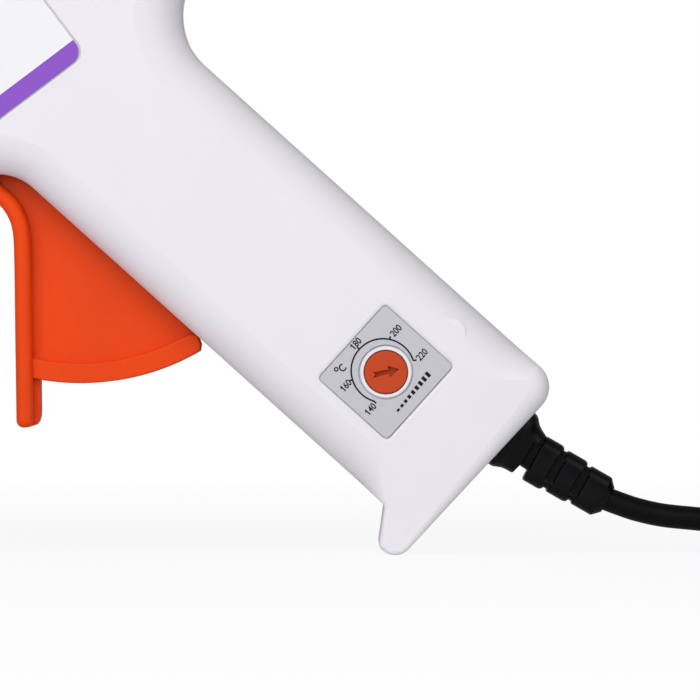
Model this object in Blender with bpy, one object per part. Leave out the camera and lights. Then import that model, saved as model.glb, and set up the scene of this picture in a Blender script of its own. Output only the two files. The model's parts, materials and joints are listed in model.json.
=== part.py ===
"""Hot glue applicator: a pistol-shaped glue gun with a temperature dial, resting on its wire stand.

The gun frame has its origin on the trigger's pivot: +X runs to the rear along the barrel, +Z up across
it, and -Y to the side that carries the dial. The empty "stance" tilts that frame, nozzle down, and sets
it on the floor. The free cord is laid out in world coordinates.
"""
import math

import bmesh
import bpy
from mathutils import Vector

MM = 0.001

# Stance
NOZZLE_DOWN = math.radians(37.0)

# Clearances and cutting overrun
GAP = 0.3 * MM
RUNNING = 0.4 * MM
OVERRUN = 2.0 * MM

# Body shells, seen from the side in the gun frame
HALF_THICKNESS = 16.5 * MM
WALL = 2.2 * MM
BARREL_AXIS = 30.5 * MM
BARREL_UNDER = 8.55 * MM
BARREL_TOP = 52.5 * MM
BARREL_TOP_DROP = 3.5 * MM
BARREL_FRONT = 78.0 * MM
BARREL_REAR = 54.0 * MM
REAR_UNDER = 16.8 * MM
CHIN_RISE = 3.0 * MM
CHIN_LENGTH = 9.0 * MM
HANDLE_RAKE = math.radians(11.0)
HANDLE_FRONT = 15.34 * MM
HANDLE_DEPTH = 45.0 * MM
BUTT_RISE = math.radians(10.0)
BUTT_BACK_DROP = 104.5 * MM
TAIL_NECK_DROP = 102.2 * MM
TAIL_LENGTH = 9.0 * MM
TAIL_LEAN = math.radians(45.0)
TAIL_WIDTH = 4.6 * MM
TAIL_FADE = 7.0 * MM
BACK_FADE = 12.5 * MM
REAR_FADE = 14.0 * MM
THROAT_FILLET = 11.66 * MM
WEB_FILLET = 16.0 * MM
REAR_TOP_FILLET = 8.0 * MM
REAR_UNDER_FILLET = 4.0 * MM
BUTT_FILLET = 6.0 * MM
TAIL_FILLET = 4.0 * MM
SMALL_FILLET = 1.5 * MM
CHIN_FILLET = 10.0 * MM
FRONT_FILLET = 3.0 * MM
FRONT_TOP_FILLET = 6.0 * MM
EDGE_FRONT = 8.2 * MM
EDGE_UNDER = 7.8 * MM
EDGE_BACK = 10.0 * MM
EDGE_BUTT = 1.8 * MM
EDGE_TAIL = 1.0 * MM
EDGE_FACE = 3.0 * MM
EDGE_REAR = 4.0 * MM
EDGE_LEAST = 0.5 * MM

# Housing screws and their bosses
BOSS_RADIUS = 3.2 * MM
SCREW_RADIUS = 1.4 * MM
SCREW_HEAD_RADIUS = 2.6 * MM
SCREW_HEAD_HEIGHT = 1.8 * MM
SCREW_SINK = 0.6 * MM
SCREW_BITE = 7.0 * MM
SCREW_SOCKET_RADIUS = 1.2 * MM
SCREW_SOCKET_DEPTH = 1.0 * MM
BOSS_INSET = 7.0 * MM
BOSS_FRONT_BACK = 21.0 * MM
BOSS_REAR_BACK = 10.0 * MM
BOSS_WEB_DROP = 6.0 * MM
BOSS_WEB_INSET = 9.6 * MM
BOSS_GRIP_DROP = 64.5 * MM
BOSS_GRIP_INSET = 9.0 * MM
BOSS_BUTT_RISE = 23.5 * MM
BOSS_BUTT_INSET = 5.6 * MM

# Glue path
STICK_BORE = 5.9 * MM
CHAMBER_RADIUS = 8.5 * MM
CHAMBER_REACH = 12.0 * MM
CHAMBER_REAR = 38.0 * MM
CHAMBER_FLAT = 7.6 * MM
MELT_BORE = 3.0 * MM
MELT_CONE = 10.0 * MM
SEAL_REAR = 19.5 * MM
SEAL_WALL = 2.4 * MM
SEAL_GRIP = 6.0 * MM
RING_RADIUS = 11.4 * MM
RING_WIDTH = 4.0 * MM
RIB_THICKNESS = 1.8 * MM
RIB_HALF_HEIGHT = 14.5 * MM
FRONT_RING_BACK = 8.0 * MM
REAR_RING_PLACE = 40.6 * MM
HEATER_LEAD_ROOM = 4.8 * MM
HEATER_HALF_WIDTH = 5.5 * MM
HEATER_THICKNESS = 2.6 * MM
CLIP_WIDTH = 9.0 * MM
CLIP_THICKNESS = 0.8 * MM
CLIP_LEG = 12.0 * MM

# Nose
COLLAR_OPENING = 12.4 * MM
COLLAR_FLANGE = 15.4 * MM
COLLAR_FLANGE_THICKNESS = 3.0 * MM
COLLAR_INNER_FLANGE = 13.6 * MM
COLLAR_INNER_THICKNESS = 2.0 * MM
COLLAR_BORE = 9.2 * MM
NOZZLE_SHANK_RADIUS = 5.0 * MM
NOZZLE_SHANK_LENGTH = 6.0 * MM
NOZZLE_HEX_RADIUS = 7.4 * MM
NOZZLE_HEX_LENGTH = 5.0 * MM
NOZZLE_CONE_LENGTH = 15.0 * MM
NOZZLE_TIP_RADIUS = 1.9 * MM
NOZZLE_ORIFICE = 0.9 * MM
SLEEVE_WALL = 1.9 * MM
SLEEVE_LENGTH = 15.5 * MM

# Feed carriage and its jaw
CARRIAGE_PLACE = 1.0 * MM
CARRIAGE_LENGTH = 20.0 * MM
CARRIAGE_WALL = 2.2 * MM
WING_REACH = 11.6 * MM
WING_THICKNESS = 2.6 * MM
WING_LENGTH = 14.0 * MM
RAIL_THICKNESS = 1.7 * MM
RAIL_LENGTH = 36.0 * MM
LUG_INNER = 3.1 * MM
LUG_THICKNESS = 2.4 * MM
LUG_LENGTH = 8.4 * MM
LUG_DROP = 16.4 * MM
LUG_SLOT_TOP = 10.0 * MM
EAR_RISE = 14.0 * MM
EAR_LENGTH = 6.6 * MM
JAW_PIN_PLACE = 6.0 * MM
JAW_PIN_RISE = 11.2 * MM
JAW_PIN_RADIUS = 1.0 * MM
JAW_HALF_WIDTH = 2.4 * MM
JAW_TOOTH_COUNT = 3
JAW_REACH = 9.0 * MM
JAW_HEAD = 2.2 * MM
JAW_FLOAT = 1.5 * MM
JAW_WINDOW_REACH = 13.0 * MM

# Trigger, about its pivot
PIVOT_PIN_RADIUS = 1.5 * MM
HUB_RADIUS = 4.6 * MM
HUB_HALF_WIDTH = 6.5 * MM
PIVOT_BOSS_RADIUS = 4.4 * MM
SECTOR_RADIUS = 51.5 * MM
RIM_DEPTH = 4.4 * MM
WEB_HALF_WIDTH = 3.4 * MM
RIM_HALF_WIDTH = 5.4 * MM
BAR_HALF_WIDTH = 7.4 * MM
BAR_THICKNESS = 3.4 * MM
BAR_TOP_REACH = 20.6 * MM
BAR_TOP_RISE = 11.0 * MM
BAR_BEND_DROP = 6.6 * MM
BAR_FOOT_REACH = 46.0 * MM
BAR_FOOT_DROP = 40.6 * MM
BAR_RIB_DEPTH = 3.4 * MM
BAR_RIB_LENGTH = 9.6 * MM
SECTOR_REAR = 5.8 * MM
SECTOR_REAR_LEAN = 9.0 * MM
SLOT_HALF_WIDTH = 8.0 * MM
SLOT_FRONT = 30.0 * MM
SLOT_DROP = 54.0 * MM
ARM_REACH = 18.0 * MM
ARM_LEAN = math.radians(11.0)
ARM_HALF_WIDTH = 2.5 * MM
ARM_DEPTH = 6.4 * MM
ARM_PIN_RADIUS = 1.5 * MM
ARM_PIN_HALF_LENGTH = 5.6 * MM

# Return spring, from the carriage to a post on the right shell
SPRING_WIRE = 0.7 * MM
SPRING_COIL_RADIUS = 2.3 * MM
SPRING_CURLS = 7
SPRING_STEP_COUNT = 8
SPRING_LENGTH = 17.0 * MM
SPRING_DROP = 13.8 * MM
SPRING_START = 11.0 * MM
SPRING_POST_RADIUS = 1.6 * MM
SPRING_POST_REACH = 3.2 * MM

# Stick inlet
INLET_OPENING = 8.8 * MM
INLET_FLANGE = 11.0 * MM
INLET_FLANGE_THICKNESS = 2.2 * MM
INLET_INNER_FLANGE = 10.0 * MM
INLET_INNER_THICKNESS = 2.4 * MM
INLET_CHAMFER = 1.2 * MM

# Temperature dial
DIAL_RISE = 25.2 * MM
DIAL_INSET = 22.06 * MM
PLATE_LENGTH = 19.8 * MM
PLATE_WIDTH = 21.4 * MM
PLATE_THICKNESS = 0.5 * MM
PLATE_CORNER = 1.1 * MM
PLATE_HOLE = 5.94 * MM
PLATE_PROUD = 0.15 * MM
KNOB_RADIUS = 4.7 * MM
KNOB_HOLE = 5.05 * MM
KNOB_SINK = 0.25 * MM
KNOB_THICKNESS = 2.6 * MM
ARROW_LENGTH = 5.8 * MM
ARROW_HEAD = 2.4 * MM
ARROW_HALF_HEAD = 1.32 * MM
ARROW_SHAFT = 1.1 * MM
ARROW_DEPTH = 0.5 * MM
ARROW_ANGLE = math.radians(12.5)
SHAFT_RADIUS = 1.5 * MM
SHAFT_LENGTH = 3.4 * MM
POT_SIZE = 9.5 * MM
POT_DEPTH = 4.6 * MM
POT_NECK_RADIUS = 3.0 * MM
POT_NECK_LENGTH = 1.6 * MM
BOARD_LENGTH = 30.0 * MM
BOARD_WIDTH = 19.0 * MM
BOARD_THICKNESS = 1.6 * MM
BOARD_POST_RADIUS = 1.8 * MM
BOARD_POST_SPREAD = 12.4 * MM
TRIAC_SIZE = 4.6 * MM
TRIAC_LENGTH = 9.0 * MM
TRIAC_THICKNESS = 3.0 * MM
CAPACITOR_RADIUS = 3.0 * MM
CAPACITOR_LENGTH = 7.0 * MM
PART_SPREAD = 7.6 * MM

# Plain sticker on the barrel's left side
LABEL_LENGTH = 74.0 * MM
LABEL_REAR = 13.0 * MM
LABEL_LOW = 16.7 * MM
LABEL_HEIGHT = 24.4 * MM
LABEL_THICKNESS = 0.3 * MM
LABEL_POCKET = 0.5 * MM
LABEL_CORNER = 3.0 * MM

# Strain relief, along its own axis from the butt
RELIEF_PLACE = 37.1 * MM
RELIEF_FLANGE_WIDTH = 15.2 * MM
RELIEF_FLANGE_THICKNESS = 0.9 * MM
RELIEF_BLOCK_WIDTH = 12.6 * MM
RELIEF_BLOCK_END = 11.2 * MM
RELIEF_BLOCK_LENGTH = 4.2 * MM
RELIEF_CORE = 8.4 * MM
RELIEF_NOTCH = 1.6 * MM
RELIEF_RIB_WIDTHS = (11.0 * MM, 10.3 * MM, 9.5 * MM)
RELIEF_RIB_LENGTHS = (5.0 * MM, 5.0 * MM, 5.6 * MM)
RELIEF_GROOVE = 1.1 * MM
RELIEF_CHAMFER = 0.8 * MM
RELIEF_NECK_WIDTH = 9.4 * MM
RELIEF_ANCHOR_WIDTH = 12.6 * MM
RELIEF_ANCHOR_THICKNESS = 2.2 * MM
RELIEF_BEND = math.radians(13.0)
RELIEF_FLATNESS = 0.86
RELIEF_SQUARENESS = 0.6
RELIEF_SIDE_COUNT = 16

# Cord clamp and inner wiring
CLAMP_RISE = 7.6 * MM
CLAMP_LENGTH = 15.0 * MM
CLAMP_WIDTH = 5.0 * MM
CLAMP_THICKNESS = 2.6 * MM
CLAMP_FACE = 0.8 * MM
CLAMP_SCREW_SPREAD = 5.2 * MM
CLAMP_POST_RADIUS = 2.2 * MM
WIRE_RADIUS = 0.9 * MM
WIRE_SIDE = 10.4 * MM
WIRE_SPREAD = 1.5 * MM

# Wire stand
STAND_WIRE = 1.5 * MM
STAND_BACK = 8.0 * MM
STAND_RISE = 17.5 * MM
STAND_HALF_WIDTH = 19.6 * MM
STAND_FOOT_HALF_WIDTH = 28.0 * MM
STAND_TOE = math.radians(10.0)
STAND_BEND = 5.0 * MM
STAND_PEG_DEPTH = 5.0 * MM
LUG_STOP_REACH = 4.6 * MM
LUG_STOP_SIZE = 2.6 * MM

# Free cord, laid out in world millimetres from the trigger's pivot along X and from the floor along Z
CORD_DIAMETER = 5.2 * MM
CORD_ROUTE_MM = (
    (125.0, 8.8),
    (137.0, 7.1),
)
LEAD_BEND_RADIUS = 24.0 * MM
LEAD_SWING = math.radians(60.0)
LEAD_BEND_STEP_COUNT = 5
COIL_PITCH = 5.72 * MM
COIL_OUTER = 32.45 * MM
COIL_WHOLE_TURNS = 8
COIL_LAYERS = 4
COIL_STEP_COUNT = 20
COIL_CLIMB_TURNS = 0.5
TAIL_RUN = 8.0 * MM
TAIL_FALL_LENGTH = 30.0 * MM
TAIL_STEP_COUNT = 8
TIE_THICKNESS = 1.1 * MM
TIE_WIDTH = 6.0 * MM
PLUG_LENGTH = 27.0 * MM
PLUG_WIDTH = 21.0 * MM
PLUG_HEIGHT = 19.0 * MM
PLUG_NECK_WIDTH = 9.0 * MM
PLUG_SQUARENESS = 0.5
PLUG_SIDE_COUNT = 20
BLADE_LENGTH = 17.0 * MM
BLADE_WIDTH = 6.35 * MM
BLADE_THICKNESS = 1.5 * MM
BLADE_SPACING = 12.7 * MM

# Roundness of what is drawn
ARC_STEP = math.radians(20.0)
ROUND_SIDES = 24
SMALL_SIDES = 10
EDGE_RINGS = 3


def clear_scene():
    for item in list(bpy.data.objects):
        bpy.data.objects.remove(item, do_unlink=True)


# Materials

def make_finish(name, colour, roughness, metallic=0.0):
    material = bpy.data.materials.new(name)
    material.use_nodes = True
    shader = material.node_tree.nodes["Principled BSDF"]
    shader.inputs["Base Color"].default_value = (*colour, 1.0)
    shader.inputs["Roughness"].default_value = roughness
    shader.inputs["Metallic"].default_value = metallic
    return material


def make_finishes():
    return {
        "white": make_finish("white plastic", (0.80, 0.79, 0.83), 0.42),
        "orange": make_finish("orange plastic", (0.80, 0.09, 0.01), 0.38),
        "brass": make_finish("brass", (0.80, 0.58, 0.25), 0.28, 1.0),
        "aluminium": make_finish("aluminium", (0.72, 0.72, 0.74), 0.35, 1.0),
        "steel": make_finish("steel", (0.62, 0.62, 0.64), 0.25, 1.0),
        "ceramic": make_finish("ceramic", (0.85, 0.83, 0.78), 0.6),
        "silicone": make_finish("silicone", (0.62, 0.12, 0.06), 0.6),
        "nylon": make_finish("nylon", (0.72, 0.70, 0.64), 0.5),
        "board": make_finish("circuit board", (0.05, 0.25, 0.10), 0.45),
        "black": make_finish("black rubber", (0.012, 0.012, 0.014), 0.3),
        "grey": make_finish("grey label", (0.52, 0.53, 0.60), 0.5),
        "purple": make_finish("purple label", (0.19, 0.05, 0.50), 0.4),
        "red": make_finish("red wire", (0.55, 0.03, 0.02), 0.45),
        "blue": make_finish("blue wire", (0.03, 0.10, 0.45), 0.45),
    }


# Building blocks

def place(name, data, parent, finish, location=(0, 0, 0)):
    item = bpy.data.objects.new(name, data)
    bpy.context.scene.collection.objects.link(item)
    item.parent = parent
    item.location = location
    data.materials.append(finish)
    return item


def finish_mesh(name, grid):
    """Turns a bmesh of one closed body into a mesh whose faces point out."""
    bmesh.ops.recalc_face_normals(grid, faces=grid.faces)
    mesh = bpy.data.meshes.new(name)
    grid.to_mesh(mesh)
    grid.free()
    mesh.shade_smooth()
    mesh.set_sharp_from_angle(angle=math.radians(35.0))
    return mesh


def lofted(name, rings, endless=False):
    """Skins rings of points, with flat ends, or end to end for a closed profile."""
    grid = bmesh.new()
    rows = [[grid.verts.new(point) for point in ring] for ring in rings]
    count = len(rows[0])
    pairs = list(zip(rows, rows[1:]))
    if endless:
        pairs.append((rows[-1], rows[0]))
    for low, high in pairs:
        for i in range(count):
            j = (i + 1) % count
            grid.faces.new((low[i], low[j], high[j], high[i]))
    if not endless:
        grid.faces.new(rows[0])
        grid.faces.new(rows[-1])
    return finish_mesh(name, grid)


def prism(name, outline, low, high, axis="Y"):
    """Extrudes a flat outline. Along Y it is drawn in X and Z, along X in Y and Z, along Z in X and Y."""
    seat = {
        "X": lambda p, d: (d, p[0], p[1]),
        "Y": lambda p, d: (p[0], d, p[1]),
        "Z": lambda p, d: (p[0], p[1], d),
    }[axis]
    return lofted(name, [[seat(p, low) for p in outline], [seat(p, high) for p in outline]])


def turned(name, profile, sides=ROUND_SIDES, axis="X", bored=False):
    """Turns a profile of (place along the axis, radius) points."""
    seat = {
        "X": lambda d, a, b: (d, a, b),
        "Y": lambda d, a, b: (a, d, b),
        "Z": lambda d, a, b: (a, b, d),
    }[axis]
    rings = []
    for along, radius in profile:
        angles = [math.tau * i / sides for i in range(sides)]
        rings.append([seat(along, radius * math.cos(t), radius * math.sin(t)) for t in angles])
    return lofted(name, rings, endless=bored)


def rod(name, radius, low, high, axis="Y", sides=SMALL_SIDES):
    return turned(name, [(low, radius), (high, radius)], sides, axis)


def rectangle(low, high):
    return [(low[0], low[1]), (high[0], low[1]), (high[0], high[1]), (low[0], high[1])]


def disc_points(centre, radius, sides=SMALL_SIDES):
    angles = [math.tau * i / sides for i in range(sides)]
    return [(centre[0] + radius * math.cos(t), centre[1] + radius * math.sin(t)) for t in angles]


def squarish_points(count, squareness):
    """A rounded square of half width 1: a lower squareness makes its corners sharper."""
    points = []
    for i in range(count):
        angle = math.tau * (i + 0.5) / count
        c = math.copysign(abs(math.cos(angle)) ** squareness, math.cos(angle))
        s = math.copysign(abs(math.sin(angle)) ** squareness, math.sin(angle))
        points.append((c, s))
    return points


def turn_point(point, angle, centre=(0.0, 0.0)):
    x = point[0] - centre[0]
    z = point[1] - centre[1]
    turned_x = x * math.cos(angle) - z * math.sin(angle)
    turned_z = x * math.sin(angle) + z * math.cos(angle)
    return centre[0] + turned_x, centre[1] + turned_z


def alter(item, tool, operation):
    """Cuts a hidden tool out of an object, or joins it on."""
    tool.hide_render = True
    tool.hide_viewport = False
    tool.display_type = "WIRE"
    change = item.modifiers.new(tool.name, "BOOLEAN")
    change.operation = operation
    change.solver = "EXACT"
    change.object = tool


def add_tool(name, mesh, item, location=(0, 0, 0)):
    tool = bpy.data.objects.new(name, mesh)
    bpy.context.scene.collection.objects.link(tool)
    tool.parent = item.parent
    tool.location = location
    return tool


def cut(item, mesh, location=(0, 0, 0)):
    alter(item, add_tool(mesh.name, mesh, item, location), "DIFFERENCE")


def join(item, mesh, location=(0, 0, 0)):
    alter(item, add_tool(mesh.name, mesh, item, location), "UNION")


def filleted(corners, closed=True):
    """Rounds a polygon's corners. A corner is (x, z, fillet, edge rounding), and each point that comes
    back is (x, z, edge rounding)."""
    points = []
    count = len(corners)
    for i, (x, z, fillet, edge) in enumerate(corners):
        if fillet <= 0 or (not closed and i in (0, count - 1)):
            points.append((x, z, edge))
            continue
        before = corners[i - 1]
        after = corners[(i + 1) % count]
        here = Vector((x, z))
        back = (Vector(before[:2]) - here).normalized()
        ahead = (Vector(after[:2]) - here).normalized()
        half = back.angle(ahead) / 2
        reach = fillet / math.tan(half)
        centre = here + (back + ahead).normalized() * (fillet / math.sin(half))
        start = here + back * reach - centre
        sweep = math.pi - 2 * half
        turn = 1 if back.x * ahead.y - back.y * ahead.x < 0 else -1
        steps = max(2, round(sweep / ARC_STEP))
        for k in range(steps + 1):
            spun = turn_point(start, turn * sweep * k / steps)
            points.append((centre.x + spun[0], centre.y + spun[1], edge))
    return points


def inset_corners(corners, depth):
    """Moves each side of a counterclockwise polygon inwards by depth and keeps its fillets parallel."""
    moved = []
    count = len(corners)
    for i, (x, z, fillet, edge) in enumerate(corners):
        here = Vector((x, z))
        ahead = (Vector(corners[(i + 1) % count][:2]) - here).normalized()
        behind = (here - Vector(corners[i - 1][:2])).normalized()
        inward = (Vector((-ahead.y, ahead.x)) + Vector((-behind.y, behind.x))).normalized()
        stretch = 1 / max(0.2, inward.dot(Vector((-ahead.y, ahead.x))))
        convex = behind.x * ahead.y - behind.y * ahead.x > 0
        if fillet > 0:
            fillet = max(EDGE_LEAST, fillet - depth) if convex else fillet + depth
        spot = here + inward * depth * stretch
        moved.append((spot.x, spot.y, fillet, max(EDGE_LEAST, edge - depth)))
    return moved


def side_rings(points, side, seam, thickness, rings=EDGE_RINGS):
    """Rings of a half body from its seam to its flat side, whose rim is rounded by each point's edge."""
    count = len(points)
    normals = []
    for i in range(count):
        ahead = Vector(points[(i + 1) % count][:2]) - Vector(points[i - 1][:2])
        ahead.normalize()
        normals.append(Vector((-ahead.y, ahead.x)))
    result = [[(x, side * seam, z) for x, z, edge in points]]
    for k in range(rings + 1):
        angle = math.pi / 2 * k / rings
        ring = []
        for (x, z, edge), normal in zip(points, normals):
            inward = edge * (1 - math.cos(angle))
            reach = thickness - edge + edge * math.sin(angle)
            ring.append((x + normal.x * inward, side * reach, z + normal.y * inward))
        result.append(ring)
    return result


# Outline of the body

def handle_front_at(drop):
    """The handle's front edge, at a distance below the pivot."""
    return -HANDLE_FRONT + (drop + BARREL_UNDER) * math.tan(HANDLE_RAKE)


def handle_back_at(drop):
    return handle_front_at(drop) + HANDLE_DEPTH / math.cos(HANDLE_RAKE)


def butt_drop_at(x):
    """The butt's distance below the pivot."""
    corner = handle_back_at(BUTT_BACK_DROP)
    return BUTT_BACK_DROP + (corner - x) * math.tan(BUTT_RISE)


def body_corners(with_tail=True):
    """The side outline, counterclockwise from the chin under the nozzle."""
    chin = -BARREL_FRONT + CHIN_LENGTH
    neck = handle_front_at(TAIL_NECK_DROP)
    fade = TAIL_NECK_DROP - TAIL_FADE
    tail_x = neck - TAIL_LENGTH * math.cos(TAIL_LEAN)
    tail_drop = TAIL_NECK_DROP + TAIL_LENGTH * math.sin(TAIL_LEAN)
    tip_x = tail_x + TAIL_WIDTH * math.sin(BUTT_RISE)
    back_fade = BUTT_BACK_DROP - BACK_FADE
    lower = [
        (neck, -TAIL_NECK_DROP, SMALL_FILLET, EDGE_TAIL),
        (tail_x, -tail_drop, EDGE_TAIL, EDGE_TAIL),
        (tip_x, -butt_drop_at(tip_x), TAIL_FILLET, EDGE_TAIL),
    ]
    if not with_tail:
        lower = [(handle_front_at(butt_drop_at(neck)), -butt_drop_at(neck), TAIL_FILLET, EDGE_BUTT)]
    return [
        (-BARREL_FRONT, BARREL_UNDER + CHIN_RISE, FRONT_FILLET, EDGE_FACE),
        (chin, BARREL_UNDER, CHIN_FILLET, EDGE_UNDER),
        (-HANDLE_FRONT, BARREL_UNDER, THROAT_FILLET, EDGE_FRONT),
        (handle_front_at(fade), -fade, 0, EDGE_FRONT),
        *lower,
        (handle_back_at(BUTT_BACK_DROP), -BUTT_BACK_DROP, BUTT_FILLET, EDGE_REAR),
        (handle_back_at(back_fade), -back_fade, 0, EDGE_BACK),
        (handle_back_at(-REAR_UNDER), REAR_UNDER, WEB_FILLET, EDGE_BACK),
        (BARREL_REAR, REAR_UNDER, REAR_UNDER_FILLET, EDGE_REAR),
        (BARREL_REAR, BARREL_TOP, REAR_TOP_FILLET, EDGE_REAR),
        (BARREL_REAR - REAR_FADE, BARREL_TOP, 0, EDGE_UNDER),
        (chin, BARREL_TOP - BARREL_TOP_DROP, 0, EDGE_UNDER),
        (-BARREL_FRONT, BARREL_TOP - BARREL_TOP_DROP, FRONT_TOP_FILLET, EDGE_FACE),
    ]


def floor_drop():
    """How far the lowest point of the tilted outline lies under the pivot."""
    lowest = min(x * math.sin(NOZZLE_DOWN) + z * math.cos(NOZZLE_DOWN)
                 for x, z, edge in filleted(body_corners()))
    return -lowest


def boss_places():
    rear_web = handle_back_at(BOSS_WEB_DROP) - BOSS_WEB_INSET
    grip = handle_front_at(BOSS_GRIP_DROP) + BOSS_GRIP_INSET
    butt_drop = BUTT_BACK_DROP - BOSS_BUTT_RISE
    butt = handle_back_at(butt_drop) - BOSS_BUTT_INSET - WALL
    return [
        (-BARREL_FRONT + BOSS_FRONT_BACK, BARREL_UNDER + BOSS_INSET),
        (-BARREL_FRONT + BOSS_FRONT_BACK, BARREL_TOP - BARREL_TOP_DROP - BOSS_INSET + BOSS_RADIUS / 4),
        (BARREL_REAR - BOSS_REAR_BACK, BARREL_TOP - BOSS_INSET),
        (rear_web, -BOSS_WEB_DROP),
        (grip, -BOSS_GRIP_DROP),
        (butt, -butt_drop),
    ]


def dial_centre():
    drop = BUTT_BACK_DROP - DIAL_RISE
    return handle_front_at(drop) + DIAL_INSET, -drop


def along_handle(centre, along, across):
    """A point at a distance down the handle and towards its back from a centre."""
    x = centre[0] + along * math.sin(HANDLE_RAKE) + across * math.cos(HANDLE_RAKE)
    z = centre[1] - along * math.cos(HANDLE_RAKE) + across * math.sin(HANDLE_RAKE)
    return x, z


def plate_outline(length, width, corner, centre, turn):
    half_l = length / 2
    half_w = width / 2
    corners = [(-half_w, -half_l), (half_w, -half_l), (half_w, half_l), (-half_w, half_l)]
    rounded = filleted([(x, z, corner, 0) for x, z in corners])
    spun = [turn_point((x, z), turn) for x, z, edge in rounded]
    return [(centre[0] + x, centre[1] + z) for x, z in spun]


def relief_axis():
    """Where the strain relief leaves the butt, and its direction."""
    start = (RELIEF_PLACE, -butt_drop_at(RELIEF_PLACE))
    heading = BUTT_RISE - math.pi / 2
    return start, heading


def relief_point(along, across=0.0):
    start, heading = relief_axis()
    x = start[0] + along * math.cos(heading) - across * math.sin(heading)
    z = start[1] + along * math.sin(heading) + across * math.cos(heading)
    return x, z


# Body shells

def add_bosses(shell, side):
    for i, (x, z) in enumerate(boss_places()):
        low, high = sorted((side * GAP / 2, side * (HALF_THICKNESS - WALL / 2)))
        join(shell, rod(f"boss_{i}", BOSS_RADIUS, low, high), (x, 0, z))
    inner = HUB_HALF_WIDTH + RUNNING
    low, high = sorted((side * inner, side * (HALF_THICKNESS - WALL / 2)))
    join(shell, rod("pivot_boss", PIVOT_BOSS_RADIUS, low, high))


def add_ribs(shell, side):
    """Upright ribs that cradle the two insulating rings, and rails that guide the carriage."""
    outer = HALF_THICKNESS - WALL / 2
    low, high = sorted((side * GAP, side * outer))
    for i, place_x in enumerate((front_ring_place(), REAR_RING_PLACE)):
        plate = rectangle((-RIB_THICKNESS / 2, -RIB_HALF_HEIGHT), (RIB_THICKNESS / 2, RIB_HALF_HEIGHT))
        join(shell, prism(f"rib_{i}", plate, low, high), (-place_x, 0, BARREL_AXIS))
    inner = STICK_BORE + CARRIAGE_WALL + RUNNING
    low, high = sorted((side * inner, side * outer))
    half = RAIL_LENGTH / 2
    for i, sign in enumerate((-1, 1)):
        edge = sign * (WING_THICKNESS / 2 + GAP)
        far = edge + sign * RAIL_THICKNESS
        rail = rectangle((-half, min(edge, far)), (half, max(edge, far)))
        join(shell, prism(f"rail_{i}", rail, low, high), (-GAP, 0, BARREL_AXIS))


def cut_ring_seats(shell):
    reach = front_ring_place() - REAR_RING_PLACE + 2 * RING_WIDTH
    middle = -(front_ring_place() + REAR_RING_PLACE) / 2
    seat = rod("ring_seat", RING_RADIUS + GAP, -reach, reach, "X", ROUND_SIDES)
    cut(shell, seat, (middle, 0, BARREL_AXIS))


def cut_ends(shell):
    """The nose opening, the stick's inlet and the cord's way out."""
    span = WALL + OVERRUN
    nose = rod("nose_cut", COLLAR_OPENING, -span, span, "X", ROUND_SIDES)
    cut(shell, nose, (-BARREL_FRONT, 0, BARREL_AXIS))
    inlet = rod("inlet_cut", INLET_OPENING, -span, span, "X", ROUND_SIDES)
    cut(shell, inlet, (BARREL_REAR, 0, BARREL_AXIS))
    half = RELIEF_NECK_WIDTH / 2 + GAP
    sides = [relief_point(-span, -half), relief_point(-span, half),
             relief_point(span, half), relief_point(span, -half)]
    cut(shell, prism("relief_cut", sides, -half, half))


def cut_trigger_slot(shell):
    inside = BARREL_UNDER + WALL + OVERRUN
    deep = handle_front_at(SLOT_DROP) + WALL + OVERRUN
    outside = handle_front_at(SLOT_DROP) - OVERRUN
    outline = [
        (-SLOT_FRONT, inside),
        (-SLOT_FRONT, 0),
        (outside, -SLOT_DROP),
        (deep, -SLOT_DROP),
        (-HUB_RADIUS, inside),
    ]
    cut(shell, prism("trigger_slot", outline, -SLOT_HALF_WIDTH, SLOT_HALF_WIDTH))


def cut_screw_holes(shell, side):
    hole = SCREW_RADIUS + GAP
    for i, (x, z) in enumerate(boss_places()):
        if side < 0:
            bore = rod(f"pilot_{i}", hole, -SCREW_BITE - 2 * GAP, OVERRUN)
        else:
            bore = rod(f"bore_{i}", hole, -OVERRUN, HALF_THICKNESS)
            seat = HALF_THICKNESS - SCREW_SINK - SCREW_HEAD_HEIGHT - GAP
            sink = rod(f"sink_{i}", SCREW_HEAD_RADIUS + GAP, seat, HALF_THICKNESS + OVERRUN)
            cut(shell, sink, (x, 0, z))
        cut(shell, bore, (x, 0, z))


def cut_pivot_and_pegs(shell, side):
    reach = HALF_THICKNESS - WALL
    low, high = sorted((side * (HUB_HALF_WIDTH - GAP), side * reach))
    cut(shell, rod("pivot_bore", PIVOT_PIN_RADIUS + GAP / 2, low, high))
    low, high = sorted((side * (HALF_THICKNESS - WALL - OVERRUN), side * (HALF_THICKNESS + OVERRUN)))
    peg = rod("peg_bore", STAND_WIRE + GAP, low, high)
    x, z = stand_hinge()
    cut(shell, peg, (x, 0, z))


def stop_outline():
    """The stop lug's outline, behind the stand's leg at rest."""
    near = STAND_WIRE + GAP
    lug = rectangle((LUG_STOP_REACH - LUG_STOP_SIZE / 2, near),
                    (LUG_STOP_REACH + LUG_STOP_SIZE / 2, near + LUG_STOP_SIZE))
    return [turn_point(p, stand_leg_heading()) for p in lug]


def add_stops(shell, side):
    reach = STAND_HALF_WIDTH + STAND_WIRE
    low, high = sorted((side * (HALF_THICKNESS - WALL - GAP), side * reach))
    x, z = stand_hinge()
    join(shell, prism("stop", stop_outline(), low, high), (x, 0, z))


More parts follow.
